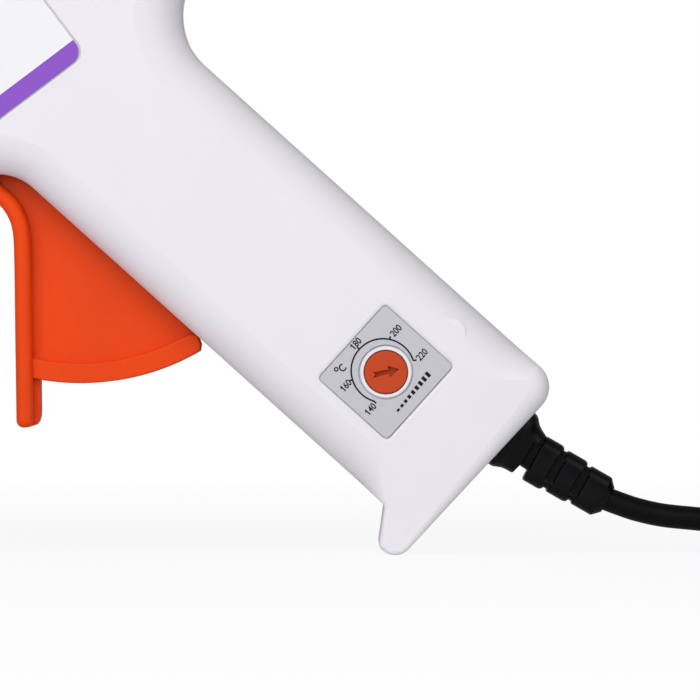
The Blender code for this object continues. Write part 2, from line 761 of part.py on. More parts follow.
def cut_dial_seat(shell):
    centre = dial_centre()
    seat = HALF_THICKNESS - PLATE_THICKNESS + PLATE_PROUD
    pocket = plate_outline(PLATE_LENGTH + 2 * GAP, PLATE_WIDTH + 2 * GAP, PLATE_CORNER, centre, HANDLE_RAKE)
    cut(shell, prism("plate_pocket", pocket, -HALF_THICKNESS - OVERRUN, -seat + GAP))
    ring = turned("knob_ring", [(-HALF_THICKNESS, KNOB_HOLE), (-HALF_THICKNESS, PLATE_HOLE - GAP),
                                (-seat + WALL / 2, PLATE_HOLE - GAP), (-seat + WALL / 2, KNOB_HOLE)],
                  ROUND_SIDES, "Y", bored=True)
    join(shell, ring, (centre[0], 0, centre[1]))
    well = rod("knob_well", KNOB_HOLE, -HALF_THICKNESS - OVERRUN, -HALF_THICKNESS + WALL + OVERRUN,
               "Y", ROUND_SIDES)
    cut(shell, well, (centre[0], 0, centre[1]))


def label_outline(spare=0.0):
    middle = (LABEL_REAR - LABEL_LENGTH / 2, LABEL_LOW + LABEL_HEIGHT / 2)
    return plate_outline(LABEL_HEIGHT + 2 * spare, LABEL_LENGTH + 2 * spare, LABEL_CORNER, middle, 0)


def add_board_posts(shell):
    top = board_face() + GAP
    for i, sign in enumerate((-1, 1)):
        x, z = along_handle(dial_centre(), sign * BOARD_POST_SPREAD, 0)
        post = rod(f"board_post_{i}", BOARD_POST_RADIUS, -HALF_THICKNESS + WALL / 2, -top)
        join(shell, post, (x, 0, z))


def add_right_posts(shell):
    """Posts for the cord clamp's screws and for the return spring's fixed hook."""
    outer = HALF_THICKNESS - WALL / 2
    for i, sign in enumerate((-1, 1)):
        x, z = relief_point(-CLAMP_RISE, sign * CLAMP_SCREW_SPREAD)
        post = rod(f"clamp_post_{i}", CLAMP_POST_RADIUS, clamp_seat() + GAP, outer)
        join(shell, post, (x, 0, z))
        hole = rod(f"clamp_hole_{i}", SCREW_RADIUS + GAP, clamp_seat() - OVERRUN, clamp_seat() + SCREW_BITE)
        cut(shell, hole, (x, 0, z))
    x = SPRING_START + SPRING_LENGTH + SPRING_COIL_RADIUS
    post = rod("spring_post", SPRING_POST_RADIUS, -SPRING_POST_REACH, outer)
    join(shell, post, (x, 0, BARREL_AXIS - SPRING_DROP))


def make_shell(name, side, stance, finish):
    points = filleted(body_corners())
    rings = side_rings(points, side, GAP / 2, HALF_THICKNESS)
    shell = place(name, lofted(name, rings), stance, finish)
    hollow = filleted(inset_corners(body_corners(with_tail=False), WALL))
    inner = side_rings(hollow, side, -OVERRUN, HALF_THICKNESS - WALL)
    cut(shell, lofted("cavity", inner))
    add_bosses(shell, side)
    add_ribs(shell, side)
    cut_ring_seats(shell)
    cut_ends(shell)
    cut_trigger_slot(shell)
    cut_screw_holes(shell, side)
    cut_pivot_and_pegs(shell, side)
    add_stops(shell, side)
    return shell


def make_shells(stance, finishes):
    left = make_shell("left_shell", -1, stance, finishes["white"])
    cut_dial_seat(left)
    label = label_outline(GAP)
    cut(left, prism("label_pocket", label, -HALF_THICKNESS - OVERRUN, -HALF_THICKNESS + LABEL_POCKET))
    add_board_posts(left)
    right = make_shell("right_shell", 1, stance, finishes["white"])
    add_right_posts(right)


def make_screws(stance, finish):
    top = HALF_THICKNESS - SCREW_SINK
    neck = top - SCREW_HEAD_HEIGHT
    for i, (x, z) in enumerate(boss_places()):
        profile = [
            (-SCREW_BITE, SCREW_RADIUS / 2),
            (-SCREW_BITE + SCREW_RADIUS, SCREW_RADIUS),
            (neck, SCREW_RADIUS),
            (neck, SCREW_HEAD_RADIUS),
            (top - SCREW_RADIUS / 2, SCREW_HEAD_RADIUS),
            (top, SCREW_HEAD_RADIUS - SCREW_RADIUS / 2),
        ]
        screw = place(f"housing_screw_{i + 1}", turned("screw", profile, SMALL_SIDES, "Y"), stance,
                      finish, (x, 0, z))
        socket = rod("socket", SCREW_SOCKET_RADIUS, top - SCREW_SOCKET_DEPTH, top + OVERRUN, "Y", 6)
        cut(screw, socket, (x, 0, z))


# Glue path

def chamber_front():
    """The chamber comes out of the barrel by its reach."""
    return BARREL_FRONT + CHAMBER_REACH


def front_ring_place():
    return BARREL_FRONT - FRONT_RING_BACK


def heater_span():
    """The heater lies between the two insulators, with room for its leads behind it."""
    rear = REAR_RING_PLACE + RING_WIDTH / 2 + HEATER_LEAD_ROOM
    front = front_ring_place() - RING_WIDTH / 2 - 2 * GAP
    return rear, front


def heater_length():
    rear, front = heater_span()
    return front - rear


def heater_place():
    return sum(heater_span()) / 2


def nozzle_seat():
    return -chamber_front() - GAP


def nozzle_tip():
    return nozzle_seat() - NOZZLE_HEX_LENGTH - NOZZLE_CONE_LENGTH


def make_nose(stance, finishes):
    face = -BARREL_FRONT
    outer = face - GAP
    inner = face + WALL + GAP
    collar = [
        (outer - COLLAR_FLANGE_THICKNESS, COLLAR_BORE),
        (outer - COLLAR_FLANGE_THICKNESS, COLLAR_FLANGE - COLLAR_FLANGE_THICKNESS / 2),
        (outer - COLLAR_FLANGE_THICKNESS / 2, COLLAR_FLANGE),
        (outer, COLLAR_FLANGE),
        (outer, COLLAR_OPENING - GAP),
        (inner, COLLAR_OPENING - GAP),
        (inner, COLLAR_INNER_FLANGE),
        (inner + COLLAR_INNER_THICKNESS, COLLAR_INNER_FLANGE),
        (inner + COLLAR_INNER_THICKNESS, COLLAR_BORE),
    ]
    place("front_collar", turned("collar", collar, bored=True), stance, finishes["orange"],
          (0, 0, BARREL_AXIS))
    seat = nozzle_seat()
    hex_end = seat - NOZZLE_HEX_LENGTH
    tip = nozzle_tip()
    cone = (NOZZLE_HEX_RADIUS + NOZZLE_TIP_RADIUS) / 2
    profile = [
        (seat + NOZZLE_SHANK_LENGTH, MELT_BORE / 2),
        (seat + NOZZLE_SHANK_LENGTH, NOZZLE_SHANK_RADIUS),
        (seat, NOZZLE_SHANK_RADIUS),
        (seat, NOZZLE_HEX_RADIUS),
        (hex_end, NOZZLE_HEX_RADIUS),
        (hex_end - NOZZLE_CONE_LENGTH / 3, cone),
        (tip, NOZZLE_TIP_RADIUS),
        (tip, NOZZLE_ORIFICE),
        (hex_end - NOZZLE_CONE_LENGTH / 2, NOZZLE_ORIFICE),
    ]
    place("nozzle", turned("nozzle", profile, bored=True), stance, finishes["brass"], (0, 0, BARREL_AXIS))
    rear = seat + GAP + NOZZLE_SHANK_LENGTH / 2
    front = rear - SLEEVE_LENGTH
    bore = CHAMBER_RADIUS + GAP
    throat = cone + GAP
    step = hex_end - NOZZLE_CONE_LENGTH / 3
    sleeve = [
        (rear, bore),
        (rear, bore + SLEEVE_WALL),
        (hex_end, bore + SLEEVE_WALL),
        (front, throat + SLEEVE_WALL),
        (front, throat),
        (step, throat),
        (hex_end - GAP, NOZZLE_HEX_RADIUS + 2 * GAP),
        (seat, bore),
    ]
    place("nozzle_sleeve", turned("sleeve", sleeve, bored=True), stance, finishes["silicone"],
          (0, 0, BARREL_AXIS))


def make_chamber(stance, finishes):
    front = -chamber_front()
    rear = -CHAMBER_REAR
    socket = front + NOZZLE_SHANK_LENGTH + GAP
    profile = [
        (front, NOZZLE_SHANK_RADIUS + GAP),
        (front, CHAMBER_RADIUS),
        (rear, CHAMBER_RADIUS),
        (rear, STICK_BORE),
        (socket + MELT_CONE, STICK_BORE),
        (socket + MELT_CONE / 2, MELT_BORE),
        (socket, MELT_BORE),
        (socket, NOZZLE_SHANK_RADIUS + GAP),
    ]
    chamber = place("melt_chamber", turned("chamber", profile, bored=True), stance,
                    finishes["aluminium"], (0, 0, BARREL_AXIS))
    half = heater_length() / 2 + GAP
    flat = rectangle((-half, -CHAMBER_RADIUS - OVERRUN), (half, -CHAMBER_FLAT))
    cut(chamber, prism("flat", flat, -CHAMBER_RADIUS, CHAMBER_RADIUS), (-heater_place(), 0, BARREL_AXIS))
    for name, spot in (("front_insulator", front_ring_place()), ("rear_insulator", REAR_RING_PLACE)):
        half = RING_WIDTH / 2
        ring = [(-half, CHAMBER_RADIUS + GAP), (-half, RING_RADIUS), (half, RING_RADIUS),
                (half, CHAMBER_RADIUS + GAP)]
        place(name, turned(name, ring, bored=True), stance, finishes["ceramic"], (-spot, 0, BARREL_AXIS))


def make_heater(stance, finishes):
    top = -CHAMBER_FLAT - GAP
    low = top - HEATER_THICKNESS
    block = rectangle((-HEATER_HALF_WIDTH, low), (HEATER_HALF_WIDTH, top))
    half = heater_length() / 2
    place("ptc_heater", prism("heater", block, -half, half, "X"), stance, finishes["ceramic"],
          (-heater_place(), 0, BARREL_AXIS))
    inner = CHAMBER_RADIUS + GAP
    outer = inner + CLIP_THICKNESS
    floor = low - GAP
    crown = floor + CLIP_LEG
    outline = [
        (-outer, floor - CLIP_THICKNESS),
        (outer, floor - CLIP_THICKNESS),
        (outer, crown),
        (inner, crown),
        (inner, floor),
        (-inner, floor),
        (-inner, crown),
        (-outer, crown),
    ]
    half = CLIP_WIDTH / 2
    place("heater_clip", prism("clip", outline, -half, half, "X"), stance, finishes["steel"],
          (-heater_place(), 0, BARREL_AXIS))


def make_seal(stance, finishes):
    front = -CHAMBER_REAR
    grip = front - SEAL_GRIP / 2
    outer = CHAMBER_RADIUS + GAP + SEAL_WALL
    profile = [
        (grip + RING_WIDTH, CHAMBER_RADIUS + GAP),
        (grip + RING_WIDTH, outer - GAP),
        (front + SEAL_GRIP, outer - GAP),
        (-SEAL_REAR, STICK_BORE + SEAL_WALL),
        (-SEAL_REAR, STICK_BORE),
        (front + GAP, STICK_BORE),
        (front + GAP, CHAMBER_RADIUS + GAP),
    ]
    place("stick_seal", turned("seal", profile, bored=True), stance, finishes["silicone"],
          (0, 0, BARREL_AXIS))


def make_inlet(stance, finishes):
    face = BARREL_REAR
    outer = face + GAP
    inner = face - WALL - GAP
    profile = [
        (inner - INLET_INNER_THICKNESS, STICK_BORE),
        (inner - INLET_INNER_THICKNESS, INLET_INNER_FLANGE),
        (inner, INLET_INNER_FLANGE),
        (inner, INLET_OPENING - GAP),
        (outer, INLET_OPENING - GAP),
        (outer, INLET_FLANGE),
        (outer + INLET_FLANGE_THICKNESS, INLET_FLANGE),
        (outer + INLET_FLANGE_THICKNESS, STICK_BORE + INLET_CHAMFER),
        (outer + INLET_FLANGE_THICKNESS - INLET_CHAMFER, STICK_BORE),
    ]
    place("inlet_ring", turned("inlet", profile, bored=True), stance, finishes["orange"],
          (0, 0, BARREL_AXIS))


# Feed carriage

def arm_pin_place():
    return ARM_REACH * math.sin(ARM_LEAN), ARM_REACH * math.cos(ARM_LEAN)


def make_carriage(stance, finishes):
    half = CARRIAGE_LENGTH / 2
    outer = STICK_BORE + CARRIAGE_WALL
    tube = [(-half, STICK_BORE), (-half, outer), (half, outer), (half, STICK_BORE)]
    centre = (CARRIAGE_PLACE, 0, BARREL_AXIS)
    carriage = place("feed_carriage", turned("carriage", tube, bored=True), stance,
                     finishes["nylon"], centre)
    wing = rectangle((-WING_LENGTH / 2, -WING_THICKNESS / 2), (WING_LENGTH / 2, WING_THICKNESS / 2))
    pin_x = arm_pin_place()[0] - CARRIAGE_PLACE
    lug = rectangle((pin_x - LUG_LENGTH / 2, -LUG_DROP), (pin_x + LUG_LENGTH / 2, -outer + WALL / 2))
    ear_x = JAW_PIN_PLACE
    ear = rectangle((ear_x - EAR_LENGTH / 2, outer - WALL / 2), (ear_x + EAR_LENGTH / 2, EAR_RISE))
    for side in (-1, 1):
        low, high = sorted((side * (outer - WALL / 2), side * WING_REACH))
        join(carriage, prism("wing", wing, low, high), centre)
        low, high = sorted((side * LUG_INNER, side * (LUG_INNER + LUG_THICKNESS)))
        join(carriage, prism("lug", lug, low, high), centre)
        join(carriage, prism("ear", ear, low, high), centre)
    slot = rectangle((pin_x - ARM_PIN_RADIUS - GAP, -LUG_DROP - OVERRUN),
                     (pin_x + ARM_PIN_RADIUS + GAP, -LUG_SLOT_TOP))
    cut(carriage, prism("lug_slot", slot, -WING_REACH, WING_REACH), centre)
    window = rectangle((ear_x - JAW_WINDOW_REACH, 0), (ear_x + EAR_LENGTH / 2, outer + OVERRUN))
    reach = JAW_HALF_WIDTH + GAP
    cut(carriage, prism("window", window, -reach, reach), centre)
    bore = rod("jaw_bore", JAW_PIN_RADIUS + GAP / 2, -WING_REACH, WING_REACH)
    cut(carriage, bore, (CARRIAGE_PLACE + ear_x, 0, BARREL_AXIS + JAW_PIN_RISE))


def make_jaw(stance, finishes):
    """The biting jaw: its teeth float just clear of the stick until the trigger tips it down."""
    teeth_at = STICK_BORE + JAW_FLOAT - JAW_PIN_RISE
    pitch = JAW_REACH / JAW_TOOTH_COUNT / 2
    outline = [
        (JAW_HEAD, 0),
        (JAW_HEAD / 2, JAW_HEAD),
        (-JAW_HEAD, JAW_HEAD),
        (-JAW_REACH, teeth_at + JAW_HEAD),
    ]
    for i in range(JAW_TOOTH_COUNT):
        x = -JAW_REACH + i * pitch
        outline.append((x, teeth_at))
        outline.append((x + pitch / 2, teeth_at + JAW_FLOAT / 2))
    outline.append((-JAW_HEAD, -JAW_HEAD))
    outline.append((JAW_HEAD / 2, -JAW_HEAD))
    spot = (CARRIAGE_PLACE + JAW_PIN_PLACE, 0, BARREL_AXIS + JAW_PIN_RISE)
    jaw = place("grip_jaw", prism("jaw", outline, -JAW_HALF_WIDTH, JAW_HALF_WIDTH), stance,
                finishes["steel"], spot)
    cut(jaw, rod("jaw_hole", JAW_PIN_RADIUS + GAP / 2, -WING_REACH, WING_REACH), spot)
    reach = LUG_INNER + LUG_THICKNESS
    place("jaw_pin", rod("jaw_pin", JAW_PIN_RADIUS, -reach, reach), stance, finishes["steel"], spot)


def make_return_spring(stance, finishes):
    """A drawn coil whose ends hook towards the carriage's lug and the right shell's post."""
    points = []
    steps = SPRING_CURLS * SPRING_STEP_COUNT
    for i in range(steps + 1):
        angle = math.tau * i / SPRING_STEP_COUNT
        x = SPRING_START + SPRING_LENGTH * i / steps
        points.append((x, SPRING_COIL_RADIUS * math.cos(angle), SPRING_COIL_RADIUS * math.sin(angle)))
    curve = tube_curve("return_spring", points, SPRING_WIRE / 2, 1)
    place("return_spring", curve, stance, finishes["steel"], (0, 0, BARREL_AXIS - SPRING_DROP))


# Trigger

def bar_line():
    """The finger bar's centre line from its tucked-in top to its foot."""
    bend_x = -BAR_TOP_REACH
    return [
        (bend_x - BAR_THICKNESS / 4, BAR_TOP_RISE),
        (bend_x, BAR_THICKNESS),
        (bend_x + BAR_THICKNESS / 5, 0),
        (bend_x + BAR_THICKNESS / 9, -BAR_THICKNESS),
        (bend_x - BAR_THICKNESS / 4, -BAR_BEND_DROP),
        (bend_x - BAR_THICKNESS * 1.25, -BAR_BEND_DROP - BAR_THICKNESS * 1.5),
        (-BAR_FOOT_REACH, -BAR_FOOT_DROP),
    ]


def thickened(line, thickness):
    """An outline of even thickness round an open line."""
    near = []
    far = []
    last = len(line) - 1
    for i, point in enumerate(line):
        ahead = Vector(line[min(i + 1, last)]) - Vector(line[max(i - 1, 0)])
        ahead.normalize()
        across = Vector((-ahead.y, ahead.x)) * thickness / 2
        near.append((point[0] + across.x, point[1] + across.y))
        far.append((point[0] - across.x, point[1] - across.y))
    return near + far[::-1]


def sector_outline(radius, inner=0.0):
    """The trigger's fan from the finger bar round to its rear edge, or only its rim."""
    foot = Vector((-BAR_FOOT_REACH, -BAR_FOOT_DROP))
    bend = Vector(bar_line()[-2])
    slope = (foot - bend).normalized()
    reach = bend.dot(slope)
    t = -reach + math.sqrt(reach * reach - bend.length_squared + radius * radius)
    first = bend + slope * t
    rear_x = -SECTOR_REAR
    rear = Vector((rear_x, -math.sqrt(SECTOR_RADIUS ** 2 - rear_x ** 2)))
    start = math.atan2(first.y, first.x)
    end = math.atan2(rear.y, rear.x)
    steps = max(4, round((end - start) / math.radians(4.0)))
    arc = [start + (end - start) * i / steps for i in range(steps + 1)]
    outline = [(radius * math.cos(a), radius * math.sin(a)) for a in arc]
    if inner > 0:
        lean = RIM_DEPTH * SECTOR_REAR_LEAN / SECTOR_RADIUS
        outline[-1] = (rear.x, rear.y)
        back = [(inner * math.cos(a), inner * math.sin(a)) for a in arc[::-1]]
        back[0] = (back[0][0] + lean, back[0][1])
        return outline + back
    top = bar_line()[2]
    return outline + [(HUB_RADIUS, -HUB_RADIUS), (HUB_RADIUS / 2, HUB_RADIUS / 2), (top[0], HUB_RADIUS / 4)]


def make_trigger(stance, finishes):
    bar = thickened(bar_line(), BAR_THICKNESS)
    trigger = place("trigger", prism("finger_bar", bar, -BAR_HALF_WIDTH, BAR_HALF_WIDTH), stance,
                    finishes["orange"])
    bevel = trigger.modifiers.new("Rounded edges", "BEVEL")
    bevel.width = BAR_THICKNESS / 5
    bevel.segments = 2
    web = sector_outline(SECTOR_RADIUS - RIM_DEPTH / 2)
    join(trigger, prism("web", web, -WEB_HALF_WIDTH, WEB_HALF_WIDTH))
    rim = sector_outline(SECTOR_RADIUS, SECTOR_RADIUS - RIM_DEPTH)
    join(trigger, prism("rim", rim, -RIM_HALF_WIDTH, RIM_HALF_WIDTH))
    foot = Vector((-BAR_FOOT_REACH, -BAR_FOOT_DROP))
    slope = (foot - Vector(bar_line()[-2])).normalized()
    across = Vector((-slope.y, slope.x))
    rib = [foot, foot + across * BAR_RIB_DEPTH / 2, foot + across * BAR_RIB_DEPTH - slope * BAR_RIB_DEPTH,
           foot + across * BAR_RIB_DEPTH - slope * BAR_RIB_LENGTH, foot - slope * BAR_RIB_LENGTH]
    join(trigger, prism("foot_rib", [tuple(p) for p in rib], -WEB_HALF_WIDTH, WEB_HALF_WIDTH))
    join(trigger, rod("hub", HUB_RADIUS, -HUB_HALF_WIDTH, HUB_HALF_WIDTH, "Y", ROUND_SIDES))
    pin_x, pin_z = arm_pin_place()
    arm = [turn_point(p, -ARM_LEAN) for p in rectangle((-ARM_DEPTH / 2, 0), (ARM_DEPTH / 2, ARM_REACH))]
    join(trigger, prism("arm", arm, -ARM_HALF_WIDTH, ARM_HALF_WIDTH))
    pin = rod("arm_pin", ARM_PIN_RADIUS, -ARM_PIN_HALF_LENGTH, ARM_PIN_HALF_LENGTH)
    join(trigger, pin, (pin_x, 0, pin_z))
    cut(trigger, rod("hub_bore", PIVOT_PIN_RADIUS + GAP / 2, -HALF_THICKNESS, HALF_THICKNESS))
    reach = HALF_THICKNESS - WALL - GAP
    place("trigger_pin", rod("trigger_pin", PIVOT_PIN_RADIUS, -reach, reach), stance, finishes["steel"])


# Dial and control board

def knob_back():
    return HALF_THICKNESS - KNOB_SINK - KNOB_THICKNESS


def pot_top():
    return knob_back() - GAP


def board_face():
    """The board's face towards the dial, measured from the seam."""
    return pot_top() - POT_NECK_LENGTH - POT_DEPTH - GAP


def arrow_outline():
    half = ARROW_LENGTH / 2
    neck = half - ARROW_HEAD
    shaft = ARROW_SHAFT / 2
    shape = [
        (-half, -shaft),
        (neck, -shaft),
        (neck, -ARROW_HALF_HEAD),
        (half, 0),
        (neck, ARROW_HALF_HEAD),
        (neck, shaft),
        (-half, shaft),
        (-half + shaft, 0),
    ]
    turn = ARROW_ANGLE - NOZZLE_DOWN
    return [turn_point(p, turn) for p in shape]


def make_dial(stance, finishes):
    centre = dial_centre()
    top = HALF_THICKNESS + PLATE_PROUD
    outline = plate_outline(PLATE_LENGTH, PLATE_WIDTH, PLATE_CORNER, centre, HANDLE_RAKE)
    plate = place("dial_plate", prism("plate", outline, -top, -top + PLATE_THICKNESS), stance,
                  finishes["grey"])
    spot = (centre[0], 0, centre[1])
    cut(plate, rod("plate_hole", PLATE_HOLE, -top - OVERRUN, -HALF_THICKNESS + WALL, "Y", ROUND_SIDES), spot)
    face = HALF_THICKNESS - KNOB_SINK
    back = knob_back()
    profile = [
        (-face, KNOB_RADIUS),
        (-back, KNOB_RADIUS),
        (-back, SHAFT_RADIUS),
        (-back + SHAFT_LENGTH, SHAFT_RADIUS),
    ]
    knob = place("dial_knob", turned("knob", profile, ROUND_SIDES, "Y"), stance, finishes["orange"], spot)
    arrow = prism("arrow", arrow_outline(), -face - OVERRUN, -face + ARROW_DEPTH)
    cut(knob, arrow, spot)


def make_board(stance, finishes):
    centre = dial_centre()
    spot = (centre[0], 0, centre[1])
    top = pot_top()
    shoulder = top - POT_NECK_LENGTH
    body = plate_outline(POT_SIZE, POT_SIZE, SMALL_FILLET, (0, 0), HANDLE_RAKE)
    pot = place("potentiometer", prism("pot", body, -shoulder, -shoulder + POT_DEPTH), stance,
                finishes["steel"], spot)
    join(pot, rod("pot_neck", POT_NECK_RADIUS, -top, -shoulder + WALL / 2), spot)
    cut(pot, rod("pot_bore", SHAFT_RADIUS + GAP, -top - OVERRUN, -knob_back() + SHAFT_LENGTH + GAP), spot)
    face = board_face()
    board = plate_outline(BOARD_LENGTH, BOARD_WIDTH, SMALL_FILLET, (0, 0), HANDLE_RAKE)
    place("control_board", prism("board", board, -face, -face + BOARD_THICKNESS), stance,
          finishes["board"], spot)
    behind = -face + BOARD_THICKNESS + GAP
    x, z = along_handle(centre, -PART_SPREAD, 0)
    slab = plate_outline(TRIAC_LENGTH, TRIAC_SIZE, EDGE_LEAST, (0, 0), HANDLE_RAKE)
    place("triac", prism("triac", slab, behind, behind + TRIAC_THICKNESS), stance, finishes["black"],
          (x, 0, z))
    x, z = along_handle(centre, PART_SPREAD, 0)
    can = [(0, CAPACITOR_RADIUS), (CAPACITOR_LENGTH, CAPACITOR_RADIUS)]
    place("capacitor", turned("capacitor", can, SMALL_SIDES, "Y"), stance, finishes["aluminium"],
          (x, behind, z))


# Strain relief, clamp and inner wires

def relief_ring(along, half, bend=0.0):
    """A rounded square ring of the strain relief, at a distance from the butt along its bent axis."""
    ring = []
    start, heading = relief_axis()
    knee = RELIEF_FLANGE_THICKNESS + RELIEF_BLOCK_LENGTH + RELIEF_NOTCH / 2
    straight = min(along, knee)
    x = start[0] + straight * math.cos(heading)
    z = start[1] + straight * math.sin(heading)
    aim = heading + bend
    x += (along - straight) * math.cos(aim)
    z += (along - straight) * math.sin(aim)
    for c, s in squarish_points(RELIEF_SIDE_COUNT, RELIEF_SQUARENESS):
        across = half * c
        ring.append((x - across * math.sin(aim), half * RELIEF_FLATNESS * s, z + across * math.cos(aim)))
    return ring


def relief_end():
    """The strain relief's far end: its place in the gun frame and its heading there."""
    length = RELIEF_FLANGE_THICKNESS + RELIEF_BLOCK_LENGTH + RELIEF_NOTCH
    length += sum(RELIEF_RIB_LENGTHS) + RELIEF_GROOVE * (len(RELIEF_RIB_LENGTHS) - 1)
    ring = relief_ring(length, 0.0, RELIEF_BEND)
    return (ring[0][0], ring[0][2]), relief_axis()[1] + RELIEF_BEND, length


def relief_rings():
    inner = -WALL - GAP
    bottom = GAP
    rings = [relief_ring(inner - RELIEF_ANCHOR_THICKNESS, RELIEF_ANCHOR_WIDTH / 2),
             relief_ring(inner, RELIEF_ANCHOR_WIDTH / 2),
             relief_ring(inner, RELIEF_NECK_WIDTH / 2 - GAP),
             relief_ring(bottom, RELIEF_NECK_WIDTH / 2 - GAP),
             relief_ring(bottom, RELIEF_FLANGE_WIDTH / 2),
             relief_ring(RELIEF_FLANGE_THICKNESS, RELIEF_FLANGE_WIDTH / 2 - GAP),
             relief_ring(RELIEF_FLANGE_THICKNESS + GAP, RELIEF_BLOCK_WIDTH / 2)]
    along = RELIEF_FLANGE_THICKNESS + RELIEF_BLOCK_LENGTH
    rings.append(relief_ring(along, RELIEF_BLOCK_END / 2))
    rings.append(relief_ring(along, RELIEF_CORE / 2))
    along += RELIEF_NOTCH
    for i, (width, length) in enumerate(zip(RELIEF_RIB_WIDTHS, RELIEF_RIB_LENGTHS)):
        core = RELIEF_CORE / 2 * width / RELIEF_RIB_WIDTHS[0]
        if i > 0:
            rings.append(relief_ring(along, core, RELIEF_BEND))
            along += RELIEF_GROOVE
        rings.append(relief_ring(along, core, RELIEF_BEND))
        rings.append(relief_ring(along, width / 2, RELIEF_BEND))
        along += length
        rings.append(relief_ring(along - RELIEF_CHAMFER, width / 2, RELIEF_BEND))
        rings.append(relief_ring(along, width / 2 - RELIEF_CHAMFER, RELIEF_BEND))
    return rings


def make_relief(stance, finishes):
    place("strain_relief", lofted("relief", relief_rings()), stance, finishes["black"])


def clamp_seat():
    """Where the cord clamp lies, towards the right shell."""
    return GAP - CLAMP_FACE


def make_clamp(stance, finishes):
    ends = CLAMP_LENGTH / 2
    half = CLAMP_WIDTH / 2
    outline = [relief_point(-CLAMP_RISE - half, -ends), relief_point(-CLAMP_RISE - half, ends),
               relief_point(-CLAMP_RISE + half, ends), relief_point(-CLAMP_RISE + half, -ends)]
    low = -CLAMP_FACE - CLAMP_THICKNESS
    clamp = place("cord_clamp", prism("clamp", outline, low, low + CLAMP_THICKNESS), stance,
                  finishes["nylon"])
    for i, sign in enumerate((-1, 1)):
        x, z = relief_point(-CLAMP_RISE, sign * CLAMP_SCREW_SPREAD)
        cut(clamp, rod("clamp_bore", SCREW_RADIUS + GAP, low - OVERRUN, clamp_seat() + OVERRUN), (x, 0, z))
        head = low - GAP
        profile = [
            (head - SCREW_HEAD_HEIGHT, SCREW_HEAD_RADIUS - SCREW_RADIUS / 2),
            (head - SCREW_HEAD_HEIGHT / 2, SCREW_HEAD_RADIUS),
            (head, SCREW_HEAD_RADIUS),
            (head, SCREW_RADIUS),
            (clamp_seat() + SCREW_BITE - GAP * 2, SCREW_RADIUS),
        ]
        place(f"clamp_screw_{i + 1}", turned("clamp_screw", profile, SMALL_SIDES, "Y"), stance,
              finishes["steel"], (x, 0, z))


def tube_curve(name, points, radius, roundness=2):
    curve = bpy.data.curves.new(name, "CURVE")
    curve.dimensions = "3D"
    curve.bevel_depth = radius
    curve.bevel_resolution = roundness
    curve.use_fill_caps = True
    spline = curve.splines.new("POLY")
    spline.points.add(len(points) - 1)
    for target, point in zip(spline.points, points):
        target.co = (*point, 1.0)
    return curve


def smooth_route(stops, count):
    """Points along a Catmull-Rom curve through the route's stops."""
    ends = [Vector(stops[0]) * 2 - Vector(stops[1])] + [Vector(s) for s in stops]
    ends.append(Vector(stops[-1]) * 2 - Vector(stops[-2]))
    spans = len(stops) - 1
    route = []
    for i in range(count + 1):
        place_on = spans * i / count
        k = min(int(place_on), spans - 1)
        t = place_on - k
        a, b, c, d = ends[k:k + 4]
        bent = 2 * b + (c - a) * t + (2 * a - 5 * b + 4 * c - d) * t * t
        bent = bent + (3 * b - 3 * c + d - a) * t * t * t
        route.append(bent / 2)
    return route


def make_wires(stance, finishes):
    start = -WALL - GAP * 2 - RELIEF_ANCHOR_THICKNESS
    seat = -board_face() + BOARD_THICKNESS / 2
    edge = BOARD_LENGTH / 2 + WIRE_RADIUS + GAP
    centre = dial_centre()
    for name, sign, finish in (("live_wire", -1, "red"), ("neutral_wire", 1, "blue")):
        low = relief_point(start - GAP, sign * WIRE_SPREAD)
        mid = relief_point(-CLAMP_RISE, sign * WIRE_SPREAD)
        under = clamp_seat() + WIRE_RADIUS
        past = relief_point(-CLAMP_RISE - CLAMP_WIDTH, sign * WIRE_SPREAD)
        high = along_handle(centre, edge, sign * WIRE_SPREAD * 2 + WIRE_SPREAD)
        stops = [(low[0], under, low[1]), (mid[0], under, mid[1]), (past[0], under, past[1]),
                 (high[0], seat, high[1])]
        place(name, tube_curve(name, smooth_route(stops, 9), WIRE_RADIUS), stance, finishes[finish])
    for i, side in enumerate((-1, 1)):
        top = along_handle(centre, -edge, side * WIRE_SPREAD * 2)
        low = BARREL_UNDER + WALL + WIRE_RADIUS + GAP * 4
        bend = handle_back_at(0) / 2
        heater = -heater_place() + heater_length() / 2 + WIRE_RADIUS + GAP
        drop = BARREL_AXIS - CHAMBER_FLAT - HEATER_THICKNESS / 2
        passed = -REAR_RING_PLACE - RIB_THICKNESS
        stops = [(top[0], seat, top[1]), (bend, side * WIRE_SIDE, centre[1] / 2),
                 (bend, side * WIRE_SIDE, 0), (bend / 2, side * WIRE_SIDE, low),
                 (-SLOT_FRONT, side * WIRE_SIDE, low),
                 (passed, side * WIRE_SPREAD * 3, low),
                 (heater, side * WIRE_SPREAD, drop)]
        name = f"heater_lead_{i + 1}"
        place(name, tube_curve(name, smooth_route(stops, 18), WIRE_RADIUS), stance, finishes["silicone"])


def make_label(stance, finishes):
    seat = HALF_THICKNESS - LABEL_POCKET + GAP
    place("barrel_label", prism("label", label_outline(), -seat - LABEL_THICKNESS, -seat), stance,
          finishes["purple"])


# Wire stand

def stand_hinge():
    return -BARREL_FRONT + STAND_BACK, STAND_RISE


def stand_leg_heading():
    """The leg's heading in the gun frame: straight down in the world, with its foot set back by the toe."""
    return -math.pi / 2 - NOZZLE_DOWN + STAND_TOE


def stand_leg_length():
    x, z = stand_hinge()
    height = x * math.sin(NOZZLE_DOWN) + z * math.cos(NOZZLE_DOWN) + floor_drop()
    return (height - STAND_WIRE) / math.cos(STAND_TOE)


